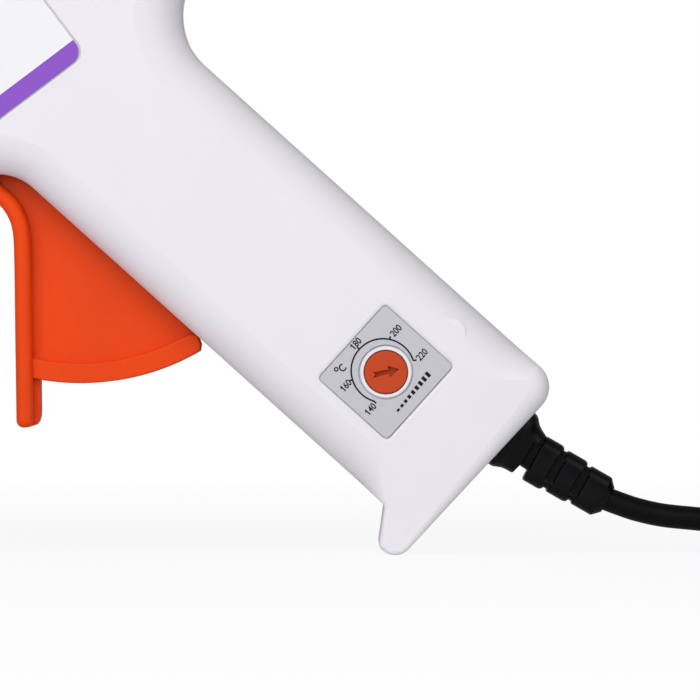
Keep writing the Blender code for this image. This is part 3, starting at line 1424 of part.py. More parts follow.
def make_stand(stance, finishes):
    length = stand_leg_length()
    aim = stand_leg_heading()
    bend = STAND_BEND
    peg = HALF_THICKNESS - STAND_PEG_DEPTH + WALL
    half = [
        (0, peg),
        (0, STAND_HALF_WIDTH - bend / 4),
        (bend / 4, STAND_HALF_WIDTH + bend / 12),
        (bend, STAND_HALF_WIDTH + bend / 6),
        (length / 3, STAND_HALF_WIDTH + (STAND_FOOT_HALF_WIDTH - STAND_HALF_WIDTH) / 4),
        (length - bend, STAND_FOOT_HALF_WIDTH - bend / 5),
        (length - bend / 3, STAND_FOOT_HALF_WIDTH - bend / 3),
        (length, STAND_FOOT_HALF_WIDTH - bend),
    ]
    line = [(d, y) for d, y in half] + [(d, -y) for d, y in half[::-1]]
    points = [(d * math.cos(aim), y, d * math.sin(aim)) for d, y in line]
    x, z = stand_hinge()
    place("wire_stand", tube_curve("wire_stand", points, STAND_WIRE, 2), stance, finishes["steel"],
          (x, 0, z))


# Free cord, coil, tie and plug

def coil_turns():
    """The lead joins the coil some way before the side on which the tail leaves it."""
    return COIL_WHOLE_TURNS + LEAD_SWING / math.tau


def coil_span():
    """Turns in one layer."""
    return coil_turns() / COIL_LAYERS


def coil_radius(turns):
    """Distance from the coil's centre after a number of turns: in along one layer, out along the next."""
    span = coil_span()
    phase = turns % (2 * span)
    step = phase if phase <= span else 2 * span - phase
    return COIL_OUTER - COIL_PITCH * step


def coil_lift(turns):
    """Layers climbed: each climb takes the half turn round a reversal."""
    layers = 0.0
    for k in range(1, COIL_LAYERS):
        into = (turns - k * coil_span()) / COIL_CLIMB_TURNS + COIL_CLIMB_TURNS
        layers += min(1.0, max(0.0, into))
    return layers


def coil_rise():
    """Height of the first layer's centre: the tie runs under it."""
    return CORD_DIAMETER / 2 + TIE_THICKNESS + GAP


def swing_heading():
    """The way the lead runs where it joins the coil."""
    return Vector((math.cos(LEAD_SWING), -math.sin(LEAD_SWING), 0))


def lead_bend():
    """The lead's turn sideways while it comes down to the coil's first layer."""
    x, z = (value * MM for value in CORD_ROUTE_MM[-1])
    points = []
    for i in range(1, LEAD_BEND_STEP_COUNT + 1):
        share = i / LEAD_BEND_STEP_COUNT
        angle = LEAD_SWING * share
        height = z + (coil_rise() - z) * math.sin(math.pi / 2 * share)
        points.append(Vector((x + LEAD_BEND_RADIUS * math.sin(angle),
                              LEAD_BEND_RADIUS * (math.cos(angle) - 1), height)))
    return points


def coil_centre():
    away = Vector((math.sin(LEAD_SWING), math.cos(LEAD_SWING), 0))
    return lead_bend()[-1] + swing_heading() * (CORD_DIAMETER + GAP) + away * COIL_OUTER


def coil_tail(start):
    """The cord's end: straight off the top layer, then down to the neck of the plug on the floor."""
    drop = start.z - PLUG_HEIGHT / 2
    points = [start + Vector((CORD_DIAMETER, 0, 0))]
    for i in range(TAIL_STEP_COUNT + 1):
        share = i / TAIL_STEP_COUNT
        fall = drop * (3 * share ** 2 - 2 * share ** 3)
        points.append(start + Vector((TAIL_RUN + TAIL_FALL_LENGTH * share, 0, -fall)))
    return [*points, points[-1] + Vector((CORD_DIAMETER / 2, 0, 0))]


def coil_points():
    total = coil_turns()
    steps = round(total * COIL_STEP_COUNT)
    centre = coil_centre()
    points = []
    for i in range(steps + 1):
        turns = total * i / steps
        angle = -math.pi / 2 - LEAD_SWING + math.tau * turns
        radius = coil_radius(turns)
        lift = COIL_PITCH * coil_lift(turns)
        points.append(centre + Vector((radius * math.cos(angle), radius * math.sin(angle), lift)))
    first = points[0] - swing_heading() * CORD_DIAMETER
    return [first, *points, *coil_tail(points[-1])]


def least_gap(points, diameter):
    """The least clear distance between stretches of a tube more than half a turn apart."""
    best = math.inf
    far = COIL_STEP_COUNT // 2
    for i in range(len(points)):
        for j in range(i + far, len(points)):
            best = min(best, (points[i] - points[j]).length)
    return best - diameter


def make_cord(yard, finishes, exit_point, heading):
    away = GAP + CORD_DIAMETER
    start = Vector((exit_point[0] + GAP * math.cos(heading), 0, exit_point[1] + GAP * math.sin(heading)))
    straight = Vector((exit_point[0] + away * math.cos(heading), 0,
                       exit_point[1] + away * math.sin(heading)))
    stops = [start, straight]
    stops += [Vector((x * MM, 0, z * MM)) for x, z in CORD_ROUTE_MM]
    stops += lead_bend()
    coil = coil_points()
    lead = smooth_route(stops, 3 * len(stops))
    place("cord_lead", tube_curve("cord_lead", lead, CORD_DIAMETER / 2, 3), yard, finishes["black"])
    place("cord_coil", tube_curve("cord_coil", coil, CORD_DIAMETER / 2, 1), yard, finishes["black"])
    print("coil's least gap to itself, mm:", round(least_gap(coil, CORD_DIAMETER) / MM, 3))
    length = sum((b - a).length for a, b in zip(lead, lead[1:]))
    length += sum((b - a).length for a, b in zip(coil, coil[1:]))
    print("cord length, mm:", round(length / MM, 1))
    return coil[-1]


def make_tie(yard, finishes):
    """A flat band round the bundle, on the side of the coil away from the lead."""
    spare = GAP * 2
    inner_low = COIL_OUTER - COIL_PITCH * coil_span() - CORD_DIAMETER / 2 - spare
    inner_high = COIL_OUTER + CORD_DIAMETER / 2 + spare
    top = coil_rise() + COIL_PITCH * (COIL_LAYERS - 1) + CORD_DIAMETER / 2 + GAP
    bottom = TIE_THICKNESS
    outline = rectangle((inner_low - TIE_THICKNESS, 0), (inner_high + TIE_THICKNESS, top + TIE_THICKNESS))
    hole = rectangle((inner_low, bottom), (inner_high, top))
    half = TIE_WIDTH / 2
    centre = coil_centre()
    spot = (centre.x, centre.y, 0)
    tie = place("cord_tie", prism("tie", outline, -half, half, "X"), yard, finishes["black"], spot)
    cut(tie, prism("tie_hole", hole, -half - OVERRUN, half + OVERRUN, "X"), spot)


def make_plug(yard, finishes, end):
    """A moulded plug lying on the floor, its neck at the cord's end."""
    height = end.z
    stations = [
        (0.0, PLUG_NECK_WIDTH / 2, PLUG_NECK_WIDTH / 2),
        (PLUG_LENGTH / 3, PLUG_NECK_WIDTH / 2 + GAP, PLUG_NECK_WIDTH / 2 + GAP),
        (PLUG_LENGTH / 2, PLUG_WIDTH / 2 - GAP, height - GAP),
        (PLUG_LENGTH - GAP * 3, PLUG_WIDTH / 2, height),
        (PLUG_LENGTH, PLUG_WIDTH / 2 - GAP * 2, height - GAP * 2),
    ]
    rings = []
    for along, half_width, half_height in stations:
        rings.append([(along, half_width * c, half_height * s)
                      for c, s in squarish_points(PLUG_SIDE_COUNT, PLUG_SQUARENESS)])
    spot = (end.x + GAP, end.y, height)
    place("plug_body", lofted("plug", rings), yard, finishes["black"], spot)
    for i, side in enumerate((-1, 1)):
        middle = side * BLADE_SPACING / 2
        tall = BLADE_WIDTH / 2
        shoulder = BLADE_LENGTH - BLADE_THICKNESS
        blade = [
            (0, -tall),
            (shoulder, -tall),
            (BLADE_LENGTH, -tall + BLADE_THICKNESS),
            (BLADE_LENGTH, tall - BLADE_THICKNESS),
            (shoulder, tall),
            (0, tall),
        ]
        half = BLADE_THICKNESS / 2
        place(f"plug_blade_{i + 1}", prism("blade", blade, middle - half, middle + half), yard,
              finishes["brass"], (end.x + 2 * GAP + PLUG_LENGTH, end.y, height))


def to_yard(point):
    """A point of the gun frame, in world directions from the spot on the floor under the pivot."""
    x, z = turn_point(point, NOZZLE_DOWN)
    return x, z + floor_drop()


def pivot_place():
    """The pivot's place along world X: the gun's overall length is centred on the origin."""
    front = to_yard((nozzle_tip(), BARREL_AXIS + NOZZLE_TIP_RADIUS))[0]
    rear = max(to_yard((x, z))[0] for ring in relief_rings() for x, y, z in ring)
    return -(front + rear) / 2


def main():
    clear_scene()
    finishes = make_finishes()
    stance = bpy.data.objects.new("stance", None)
    yard = bpy.data.objects.new("yard", None)
    for empty in (stance, yard):
        bpy.context.scene.collection.objects.link(empty)
    stance.location = (pivot_place(), 0, floor_drop())
    yard.location = (pivot_place(), 0, 0)
    stance.rotation_euler = (0, -NOZZLE_DOWN, 0)
    make_shells(stance, finishes)
    make_screws(stance, finishes["steel"])
    make_nose(stance, finishes)
    make_chamber(stance, finishes)
    make_heater(stance, finishes)
    make_seal(stance, finishes)
    make_inlet(stance, finishes)
    make_carriage(stance, finishes)
    make_jaw(stance, finishes)
    make_return_spring(stance, finishes)
    make_trigger(stance, finishes)
    make_dial(stance, finishes)
    make_board(stance, finishes)
    make_relief(stance, finishes)
    make_clamp(stance, finishes)
    make_wires(stance, finishes)
    make_label(stance, finishes)
    make_stand(stance, finishes)
    end, heading, length = relief_end()
    tail = make_cord(yard, finishes, to_yard(end), heading + NOZZLE_DOWN)
    make_tie(yard, finishes)
    make_plug(yard, finishes, tail)


main()
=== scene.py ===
import json
import math

import bmesh
import bpy
from mathutils import Matrix, Vector


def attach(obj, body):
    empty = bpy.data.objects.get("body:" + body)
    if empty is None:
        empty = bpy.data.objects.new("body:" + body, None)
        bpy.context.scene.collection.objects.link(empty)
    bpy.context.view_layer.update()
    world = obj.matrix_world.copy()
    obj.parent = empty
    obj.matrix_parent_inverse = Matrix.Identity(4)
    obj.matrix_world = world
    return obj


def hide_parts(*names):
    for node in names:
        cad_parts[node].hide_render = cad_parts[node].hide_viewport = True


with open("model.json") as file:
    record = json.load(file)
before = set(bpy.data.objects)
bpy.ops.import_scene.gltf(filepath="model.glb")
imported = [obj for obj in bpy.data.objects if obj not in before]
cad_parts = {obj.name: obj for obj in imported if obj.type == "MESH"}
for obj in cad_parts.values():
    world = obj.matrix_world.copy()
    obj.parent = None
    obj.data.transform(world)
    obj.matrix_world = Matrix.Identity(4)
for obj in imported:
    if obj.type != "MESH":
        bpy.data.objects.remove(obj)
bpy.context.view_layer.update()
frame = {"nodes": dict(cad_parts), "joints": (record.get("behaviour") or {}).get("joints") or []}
nodes = frame["nodes"]
tilt = math.radians(37.0)  # nozzle down
pivot = Vector(next(j["pos_m"] for j in frame["joints"] if j["name"] == "trigger_squeeze"))
milli = Matrix.Scale(0.001, 4)
gun = Matrix.Translation(pivot) @ Matrix.Rotation(-tilt, 4, "Y") @ milli  # modelling is in millimetres
yard = Matrix.Translation((pivot.x, 0, 0)) @ milli
print("frame loaded:", len(nodes), "nodes")


# modelling helpers

def clearSelection():
    if bpy.context.mode != "OBJECT":
        bpy.ops.object.mode_set(mode="OBJECT")
    bpy.ops.object.select_all(action="DESELECT")


def pick(piece):
    clearSelection()
    bpy.context.view_layer.objects.active = piece
    piece.select_set(True)


def leaveEdit(merge=0.0):
    # merges points that lie together, turns faces outward, back to object mode
    bpy.ops.mesh.select_all(action="SELECT")
    if merge:
        bpy.ops.mesh.remove_doubles(threshold=merge)
    bpy.ops.mesh.normals_make_consistent(inside=False)
    bpy.ops.object.mode_set(mode="OBJECT")


def loft(rings, endless=False):
    # a circle, extruded from ring to ring
    clearSelection()
    bpy.ops.mesh.primitive_circle_add(vertices=len(rings[0]), radius=1.0)
    piece = bpy.context.object
    bpy.ops.object.mode_set(mode="EDIT")
    grid = bmesh.from_edit_mesh(piece.data)
    for vert, point in zip(grid.verts, rings[0]):
        vert.co = point
    course = [Vector(p) for p in rings[0]]
    for ring in rings[1:] + rings[:endless]:
        bpy.ops.mesh.extrude_region_move()
        grid = bmesh.from_edit_mesh(piece.data)
        target = {tuple(a): b for a, b in zip(course, ring)}
        for vert in [v for v in grid.verts if v.select]:
            vert.co = target[tuple(vert.co)]
        course = [Vector(p) for p in ring]
    if not endless:
        bpy.ops.mesh.edge_face_add()
        bpy.ops.mesh.select_all(action="DESELECT")
        bpy.ops.mesh.select_mode(type="EDGE")
        bpy.ops.mesh.select_non_manifold()
        bpy.ops.mesh.edge_face_add()
        bpy.ops.mesh.select_mode(type="VERT")
    leaveEdit(0.00002 if endless else 0.0)
    return piece


def welded(piece):
    # for rings whose points meet at a corner
    pick(piece)
    bpy.ops.object.mode_set(mode="EDIT")
    leaveEdit(0.01)
    return piece


def axial(axis, along, a, b):
    # a point some way along an axis, at a and b across it
    return {"X": (along, a, b), "Y": (a, along, b), "Z": (a, b, along)}[axis]


def polar(radius, angle):
    return radius * math.cos(angle), radius * math.sin(angle)


def prism(outline, low, high, axis="Y"):
    return loft([[axial(axis, d, a, b) for a, b in outline] for d in (low, high)])


def turned(profile, sides=72, axis="X", bored=False, centre=(0, 0, 0)):
    rings = []
    for along, radius in profile:
        points = [Vector(axial(axis, along, *polar(radius, math.tau * i / sides))) for i in range(sides)]
        rings.append([p + Vector(centre) for p in points])
    return loft(rings, endless=bored)


def rod(radius, low, high, centre=(0, 0), axis="Y", sides=32):
    return turned([(low, radius), (high, radius)], sides, axis, centre=axial(axis, 0, *centre))


def tube(points, radius, sides=12):
    clearSelection()
    bpy.ops.curve.primitive_nurbs_path_add()
    line = bpy.context.object
    line.data.splines.clear()
    spline = line.data.splines.new("POLY")
    spline.points.add(len(points) - 1)
    for knot, point in zip(spline.points, points):
        knot.co = (*point, 1.0)
    line.data.dimensions = "3D"
    line.data.bevel_depth = radius
    line.data.bevel_resolution = max(1, sides // 4 - 1)
    line.data.use_fill_caps = True
    bpy.ops.object.convert(target="MESH")
    bpy.ops.object.mode_set(mode="EDIT")
    leaveEdit(0.0001)
    return bpy.context.object


def combine(piece, other, how):
    change = piece.modifiers.new("change", "BOOLEAN")
    change.operation = how
    change.solver = "EXACT"
    change.object = other
    pick(piece)
    bpy.ops.object.modifier_apply(modifier="change")
    bpy.data.objects.remove(other, do_unlink=True)


def cut(piece, other):
    combine(piece, other, "DIFFERENCE")


def join(piece, other):
    combine(piece, other, "UNION")


def soften(piece, width, segments=2, angle=35.0):
    pick(piece)
    edge = piece.modifiers.new("edge", "BEVEL")
    edge.width = width
    edge.segments = segments
    edge.limit_method = "ANGLE"
    edge.angle_limit = math.radians(angle)
    edge.use_clamp_overlap = True
    bpy.ops.object.modifier_apply(modifier="edge")
    return piece


def finishPiece(piece, name, where, finish, *replaced, body="housing", smooth=32.0):
    pick(piece)
    piece.name = name
    piece.data.name = name
    piece.matrix_world = where @ piece.matrix_world
    bpy.ops.object.transform_apply(location=True, rotation=True, scale=True)
    bpy.ops.object.shade_smooth_by_angle(angle=math.radians(smooth))
    weigh = piece.modifiers.new("weigh", "WEIGHTED_NORMAL")
    weigh.keep_sharp = True
    weigh.weight = 100
    bpy.ops.object.modifier_apply(modifier="weigh")
    piece.data.materials.clear()
    piece.data.materials.append(finishes[finish])
    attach(piece, body)
    if replaced:
        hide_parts(*replaced)
    return piece


def linked(name, data):
    item = bpy.data.objects.new(name, data)
    bpy.context.scene.collection.objects.link(item)
    return item


def spun(point, angle):
    return (point[0] * math.cos(angle) - point[1] * math.sin(angle),
            point[0] * math.sin(angle) + point[1] * math.cos(angle))


def placed(points, centre, turn=0.0):
    return [(centre[0] + a, centre[1] + b) for a, b in (spun(p, turn) for p in points)]


def leftOf(ahead):
    return Vector((-ahead.y, ahead.x))


def mirrored(low, high, side):
    return sorted((side * low, side * high))


def box2(left, bottom, right, top):
    return [(left, bottom), (right, bottom), (right, top), (left, top)]


def filleted(corners, step=5.0):
    # rounds the corners of a polygon; a corner is x, z, fillet, edge rounding
    points = []
    count = len(corners)
    for i, (x, z, fillet, edge) in enumerate(corners):
        here = Vector((x, z))
        if fillet <= 0:
            points.append((x, z, edge))
            continue
        back = (Vector(corners[i - 1][:2]) - here).normalized()
        ahead = (Vector(corners[(i + 1) % count][:2]) - here).normalized()
        half = back.angle(ahead) / 2
        centre = here + (back + ahead).normalized() * (fillet / math.sin(half))
        start = here + back * (fillet / math.tan(half)) - centre
        sweep = math.pi - 2 * half
        turn = 1 if back.x * ahead.y - back.y * ahead.x < 0 else -1
        steps = max(2, round(math.degrees(sweep) / step))
        for k in range(steps + 1):
            x1, z1 = spun(start, turn * sweep * k / steps)
            points.append((centre.x + x1, centre.y + z1, edge))
    return points


def roundedPlate(width, height, corner, centre=(0, 0), turn=0.0, step=10.0):
    ends = ((-1, -1), (1, -1), (1, 1), (-1, 1))
    shape = filleted([(a * width / 2, b * height / 2, corner, 0) for a, b in ends], step)
    return placed([corner[:2] for corner in shape], centre, turn)


def smoothRoute(stops, count):
    # Catmull-Rom through the stops
    ends = [Vector(stops[0]) * 2 - Vector(stops[1])] + [Vector(s) for s in stops]
    ends.append(Vector(stops[-1]) * 2 - Vector(stops[-2]))
    spans = len(stops) - 1
    route = []
    for i in range(count + 1):
        at = spans * i / count
        k = min(int(at), spans - 1)
        t = at - k
        a, b, c, d = ends[k:k + 4]
        bent = 2 * b + (c - a) * t + (2 * a - 5 * b + 4 * c - d) * t * t
        route.append((bent + (3 * b - 3 * c + d - a) * t ** 3) / 2)
    return route


# finishes

class Port:
    def __init__(self, tree, socket):
        self.tree = tree
        self.socket = socket

    def make(self, kind, settings=None, values=None, out=0):
        node = self.tree.nodes.new(kind)
        for key, value in (settings or {}).items():
            setattr(node, key, value)
        for key, value in (values or {}).items():
            if isinstance(value, Port):
                self.tree.links.new(value.socket, node.inputs[key])
            else:
                node.inputs[key].default_value = value
        return Port(self.tree, node.outputs[out])

    def calc(self, operation, other):
        return self.make("ShaderNodeMath", {"operation": operation}, {0: self, 1: other})

    def __add__(self, other):
        return self.calc("ADD", other)

    def __mul__(self, other):
        return self.calc("MULTIPLY", other)

    def __gt__(self, other):
        return self.calc("GREATER_THAN", other)

    def __lt__(self, other):
        return self.calc("LESS_THAN", other)

    def part(self, index):
        return self.make("ShaderNodeSeparateXYZ", None, {0: self}, index)

    def spread(self, low, high, newLow, newHigh):
        values = {0: self, 1: low, 2: high, 3: newLow, 4: newHigh}
        return self.make("ShaderNodeMapRange", {"clamp": True}, values)

    def noise(self, scale, detail=2.0, roughness=0.5):
        return self.make("ShaderNodeTexNoise", None,
                         {"Vector": self, "Scale": scale, "Detail": detail, "Roughness": roughness})

    def stretched(self, scale, turn=(0, 0, 0), place=(0, 0, 0)):
        return self.make("ShaderNodeMapping", None,
                         {"Vector": self, "Scale": scale, "Rotation": turn, "Location": place})

    def tint(self, first, second):
        return self.make("ShaderNodeMix", {"data_type": "RGBA"}, {0: self, 6: first, 7: second}, 2)


def newFinish(name, colour, roughness, metallic=0.0, gloss=0.5):
    finish = bpy.data.materials.new(name)
    finish.use_nodes = True
    finish.diffuse_color = (*colour, 1.0)
    shader = finish.node_tree.nodes["Principled BSDF"]
    shader.inputs["Base Color"].default_value = (*colour, 1.0)
    for key, value in (("Roughness", roughness), ("Metallic", metallic), ("Specular IOR Level", gloss)):
        shader.inputs[key].default_value = value
    return finish, Port(finish.node_tree, None).make("ShaderNodeTexCoord", None, None, 3)


def dressed(finish, height, strength, distance, colour, roughness=None):
    # links the relief, colour and gloss that vary over a finish
    bump = height.make("ShaderNodeBump", None, {"Height": height, "Strength": strength, "Distance": distance})
    shader = finish.node_tree.nodes["Principled BSDF"]
    for name, port in (("Base Color", colour), ("Roughness", roughness), ("Normal", bump)):
        if port is not None:
            finish.node_tree.links.new(port.socket, shader.inputs[name])
    return finish


def scaled(colour, share):
    return tuple(min(1.0, c * share) for c in colour) + (1.0,)


def moulded(name, colour, roughness, grain, depth, drift, gloss=0.5):
    # injection moulded plastic: fine grain, soft flow marks, uneven gloss
    finish, spot = newFinish(name, colour, roughness, 0.0, gloss)
    flow = spot.stretched((40, 40, 14)).noise(1.0, 3.0, 0.55)
    tone = flow.spread(0.3, 0.7, 0.0, 1.0).tint(scaled(colour, 1 - drift), scaled(colour, 1 + drift))
    shine = spot.noise(160.0, 3.0).spread(0.3, 0.7, roughness - 0.05, roughness + 0.06)
    return dressed(finish, spot.noise(grain, 2.0, 0.6) + flow * 0.4, 0.25, depth, tone, shine)


# name, colour, roughness, grains in a metre, their depth in metres, drift of the colour, gloss
plastics = {
    "white": ("white plastic", (0.80, 0.775, 0.825), 0.42, 2600.0, 0.00005, 0.012, 0.3),
    "orange": ("orange plastic", (0.80, 0.060, 0.003), 0.36, 2200.0, 0.00006, 0.06, 0.13),
    "knob": ("knob plastic", (0.52, 0.056, 0.009), 0.42, 2000.0, 0.00005, 0.05, 0.2),
    "rubber": ("black rubber", (0.0030, 0.0031, 0.0040), 0.24, 1500.0, 0.00006, 0.25, 0.13),
    "cord": ("cord jacket", (0.0030, 0.0031, 0.0037), 0.36, 1300.0, 0.00006, 0.25, 0.10),
    "nylon": ("nylon", (0.72, 0.70, 0.64), 0.50, 1500.0, 0.00006, 0.05),
    "silicone": ("silicone", (0.50, 0.085, 0.045), 0.58, 1200.0, 0.00008, 0.07),
    "ceramic": ("ceramic", (0.82, 0.80, 0.75), 0.62, 3000.0, 0.00008, 0.06),
    "red": ("red wire", (0.52, 0.03, 0.02), 0.45, 1500.0, 0.00004, 0.06),
    "blue": ("blue wire", (0.03, 0.09, 0.42), 0.45, 1500.0, 0.00004, 0.06),
    "ink": ("black ink", (0.008, 0.008, 0.012), 0.6, 3000.0, 0.00002, 0.1, 0.1),
}


def makeFinishes():
    kit = {key: moulded(*row) for key, row in plastics.items()}

    finish, spot = newFinish("brass", (0.78, 0.55, 0.23), 0.26, 1.0)
    lathe = spot.stretched((90, 2200, 2200), (0, tilt, 0)).noise(1.0, 2.0)
    stain = spot.noise(120.0, 4.0, 0.6).spread(0.35, 0.75, 0.0, 1.0)
    kit["brass"] = dressed(finish, lathe, 0.3, 0.00004, stain.tint((0.80, 0.57, 0.24, 1), (0.62, 0.38, 0.15, 1)),
                           stain.spread(0, 1, 0.2, 0.38))

    finish, spot = newFinish("steel", (0.60, 0.60, 0.62), 0.24, 1.0)
    drawn = spot.stretched((1800, 1800, 160)).noise(1.0, 2.0)
    kit["steel"] = dressed(finish, drawn, 0.2, 0.00002,
                           spot.noise(90.0, 3.0).tint((0.52, 0.52, 0.54, 1), (0.66, 0.66, 0.68, 1)),
                           drawn.spread(0.3, 0.7, 0.16, 0.32))

    finish, spot = newFinish("aluminium", (0.70, 0.70, 0.72), 0.42, 1.0)
    cast = spot.noise(900.0, 4.0, 0.6)
    kit["aluminium"] = dressed(finish, cast, 0.4, 0.0001, cast.tint((0.60, 0.60, 0.62, 1), (0.76, 0.76, 0.78, 1)),
                               cast.spread(0.3, 0.7, 0.36, 0.55))

    finish, spot = newFinish("circuit board", (0.04, 0.22, 0.09), 0.35)
    lanes = spot.stretched((1, 1, 1), (0, -math.radians(26), 0)).part(0)
    tracks = (lanes.calc("PINGPONG", 0.0013) < 0.00045) * (spot.noise(220.0, 1.0) > 0.47)
    kit["board"] = dressed(finish, tracks, 0.5, 0.00004, tracks.tint((0.02, 0.16, 0.06, 1), (0.06, 0.30, 0.12, 1)))

    finish, spot = newFinish("grey label", (0.535, 0.55, 0.625), 0.46)
    fibre = spot.noise(5200.0, 1.0)
    kit["grey"] = dressed(finish, fibre, 0.2, 0.00002, fibre.tint((0.50, 0.500, 0.545, 1), (0.56, 0.558, 0.600, 1)),
                          fibre.spread(0.3, 0.7, 0.42, 0.5))

    # pale sticker with a purple band along its lower edge, found in the gun's own directions
    finish, spot = newFinish("purple label", (0.80, 0.79, 0.83), 0.34)
    toGun = tuple(-(Matrix.Rotation(tilt, 4, "Y") @ pivot))
    band = spot.stretched((1, 1, 1), (0, tilt, 0), toGun).part(2) < 0.0189
    grainy = spot.noise(4000.0, 1.0)
    violet = grainy.tint((0.205, 0.040, 0.500, 1), (0.245, 0.055, 0.560, 1))
    kit["sticker"] = dressed(finish, grainy, 0.15, 0.00002, band.tint((0.82, 0.81, 0.85, 1), violet),
                             grainy.spread(0.3, 0.7, 0.30, 0.38))
    return kit


finishes = makeFinishes()
print("finishes made:", len(finishes))


# shells

body = {
    "half": 16.5, "wall": 2.2, "gap": 0.3, "running": 0.4, "over": 2.0,
    "axis": 30.5, "under": 8.55, "top": 52.5, "topDrop": 3.5, "front": 78.0, "rear": 54.0,
    "rearUnder": 16.8, "chinRise": 3.0, "chinLength": 9.0,
    "rake": math.radians(11.0), "handleFront": 15.34, "depth": 45.0,
    "buttRise": math.radians(10.0), "buttDrop": 104.5,
    "neckDrop": 102.2, "tailLength": 9.0, "tailLean": math.radians(45.0), "tailWidth": 4.6,
    "crease": math.radians(83.0), "rings": 10,
    "boss": 3.2, "screwHole": 1.7, "hubBoss": 4.4, "ribs": (70.0, 40.6), "ribHalf": 0.9, "ribReach": 14.5,
    "railHalf": 18.0, "railWidth": 1.7, "chamber": ((-92.7, 11.7), (-17.9, 11.7)), "collarHole": 12.4,
    "inletHole": 8.8, "pinHole": 1.65,
}
half, wall, gap, over = body["half"], body["wall"], body["gap"], body["over"]


def frontAt(drop):
    return -body["handleFront"] + (drop + body["under"]) * math.tan(body["rake"])


def backAt(drop):
    return frontAt(drop) + body["depth"] / math.cos(body["rake"])


def buttAt(x):
    return body["buttDrop"] + (backAt(body["buttDrop"]) - x) * math.tan(body["buttRise"])


def alongHandle(centre, along, across):
    rake = body["rake"]
    return (centre[0] + along * math.sin(rake) + across * math.cos(rake),
            centre[1] - along * math.cos(rake) + across * math.sin(rake))


def bodyCorners(withTail=True):
    front, under, top, rear = body["front"], body["under"], body["top"], body["rear"]
    chin = -front + body["chinLength"]
    neck = frontAt(body["neckDrop"])
    fade = body["neckDrop"] - 7.0
    tailX = neck - body["tailLength"] * math.cos(body["tailLean"])
    tailDrop = body["neckDrop"] + body["tailLength"] * math.sin(body["tailLean"])
    tipX = tailX + body["tailWidth"] * math.sin(body["buttRise"])
    backFade = body["buttDrop"] - 12.5
    lower = [
        (neck, -body["neckDrop"], 1.5, 1.0),
        (tailX, -tailDrop, 1.0, 1.0),
        (tipX, -buttAt(tipX), 4.0, 1.0),
    ]
    if not withTail:
        lower = [(frontAt(buttAt(neck)), -buttAt(neck), 4.0, 1.8)]
    return [
        (-front, under + body["chinRise"], 3.0, 3.0),
        (chin, under, 10.0, 7.8),
        (-body["handleFront"], under, 11.66, 8.2),
        (frontAt(fade), -fade, 0, 8.2),
        *lower,
        (backAt(body["buttDrop"]), -body["buttDrop"], 6.0, 4.0),
        (backAt(backFade), -backFade, 0, 10.0),
        (backAt(-body["rearUnder"]), body["rearUnder"], 16.0, 10.0),
        (rear, body["rearUnder"], 4.0, 4.0),
        (rear, top, 8.0, 4.0),
        (rear - 14.0, top, 0, 7.8),
        (chin, top - body["topDrop"], 0, 7.8),
        (-front, top - body["topDrop"], 6.0, 3.0),
    ]


def insetCorners(corners, depth):
    moved = []
    count = len(corners)
    for i, (x, z, fillet, edge) in enumerate(corners):
        here = Vector((x, z))
        ahead = (Vector(corners[(i + 1) % count][:2]) - here).normalized()
        behind = (here - Vector(corners[i - 1][:2])).normalized()
        normal = leftOf(ahead)
        inward = (normal + leftOf(behind)).normalized()
        convex = behind.x * ahead.y - behind.y * ahead.x > 0
        if fillet > 0:
            fillet = max(0.5, fillet - depth) if convex else fillet + depth
        spot = here + inward * depth / max(0.2, inward.dot(normal))
        moved.append((spot.x, spot.y, fillet, max(0.5, edge - depth)))
    return moved


def evenEdges(points, reach):
    # splits long runs, then evens out how the edge rounding grows along them
    fine = []
    for i, (x, z, edge) in enumerate(points):
        nx, nz, nextEdge = points[(i + 1) % len(points)]
        pieces = max(1, round(math.hypot(nx - x, nz - z) / reach))
        for k in range(pieces):
            t = k / pieces
            fine.append((x + (nx - x) * t, z + (nz - z) * t, edge + (nextEdge - edge) * t))
    for again in range(2):
        edges = [(fine[i - 1][2] + p[2] * 2 + fine[(i + 1) % len(fine)][2]) / 4 for i, p in enumerate(fine)]
        fine = [(p[0], p[1], min(p[2], e)) for p, e in zip(fine, edges)]
    return fine


def halfRings(points, side, seam, thickness, rings, crease, lip=0.0):
    count = len(points)
    normals = []
    for i in range(count):
        ahead = (Vector(points[(i + 1) % count][:2]) - Vector(points[i - 1][:2])).normalized()
        normals.append(leftOf(ahead))
    result = []
    if lip:
        result.append([(x + n.x * lip, side * seam, z + n.y * lip) for (x, z, e), n in zip(points, normals)])
        result.append([(x, side * (seam + lip), z) for x, z, e in points])
    else:
        result.append([(x, side * seam, z) for x, z, e in points])
    for k in range(rings + 1):
        angle = crease * k / rings
        ring = []
        for (x, z, edge), n in zip(points, normals):
            inward = edge * (1 - math.cos(angle)) / (1 - math.cos(crease))
            reach = thickness - edge + edge * math.sin(angle) / math.sin(crease)
            ring.append((x + n.x * inward, side * reach, z + n.y * inward))
        result.append(ring)
    return result


def bossPlaces():
    grip = frontAt(64.5) + 9.0
    buttDrop = body["buttDrop"] - 23.5
    return [
        (-57.0, body["under"] + 7.0),
        (-57.0, body["top"] - body["topDrop"] - 6.2),
        (44.0, body["top"] - 7.0),
        (backAt(6.0) - 9.6, -6.0),
        (grip, -64.5),
        (backAt(buttDrop) - 5.6 - wall, -buttDrop),
    ]


# sizes of the pieces that the shells make room for
stand = {"back": 8.0, "rise": 17.5, "wire": 1.5, "halfWidth": 19.6, "footHalfWidth": 28.0, "bend": 5.0,
         "toe": math.radians(10.0)}
hinge = (-body["front"] + stand["back"], stand["rise"])
legHeading = -math.pi / 2 - tilt + stand["toe"]

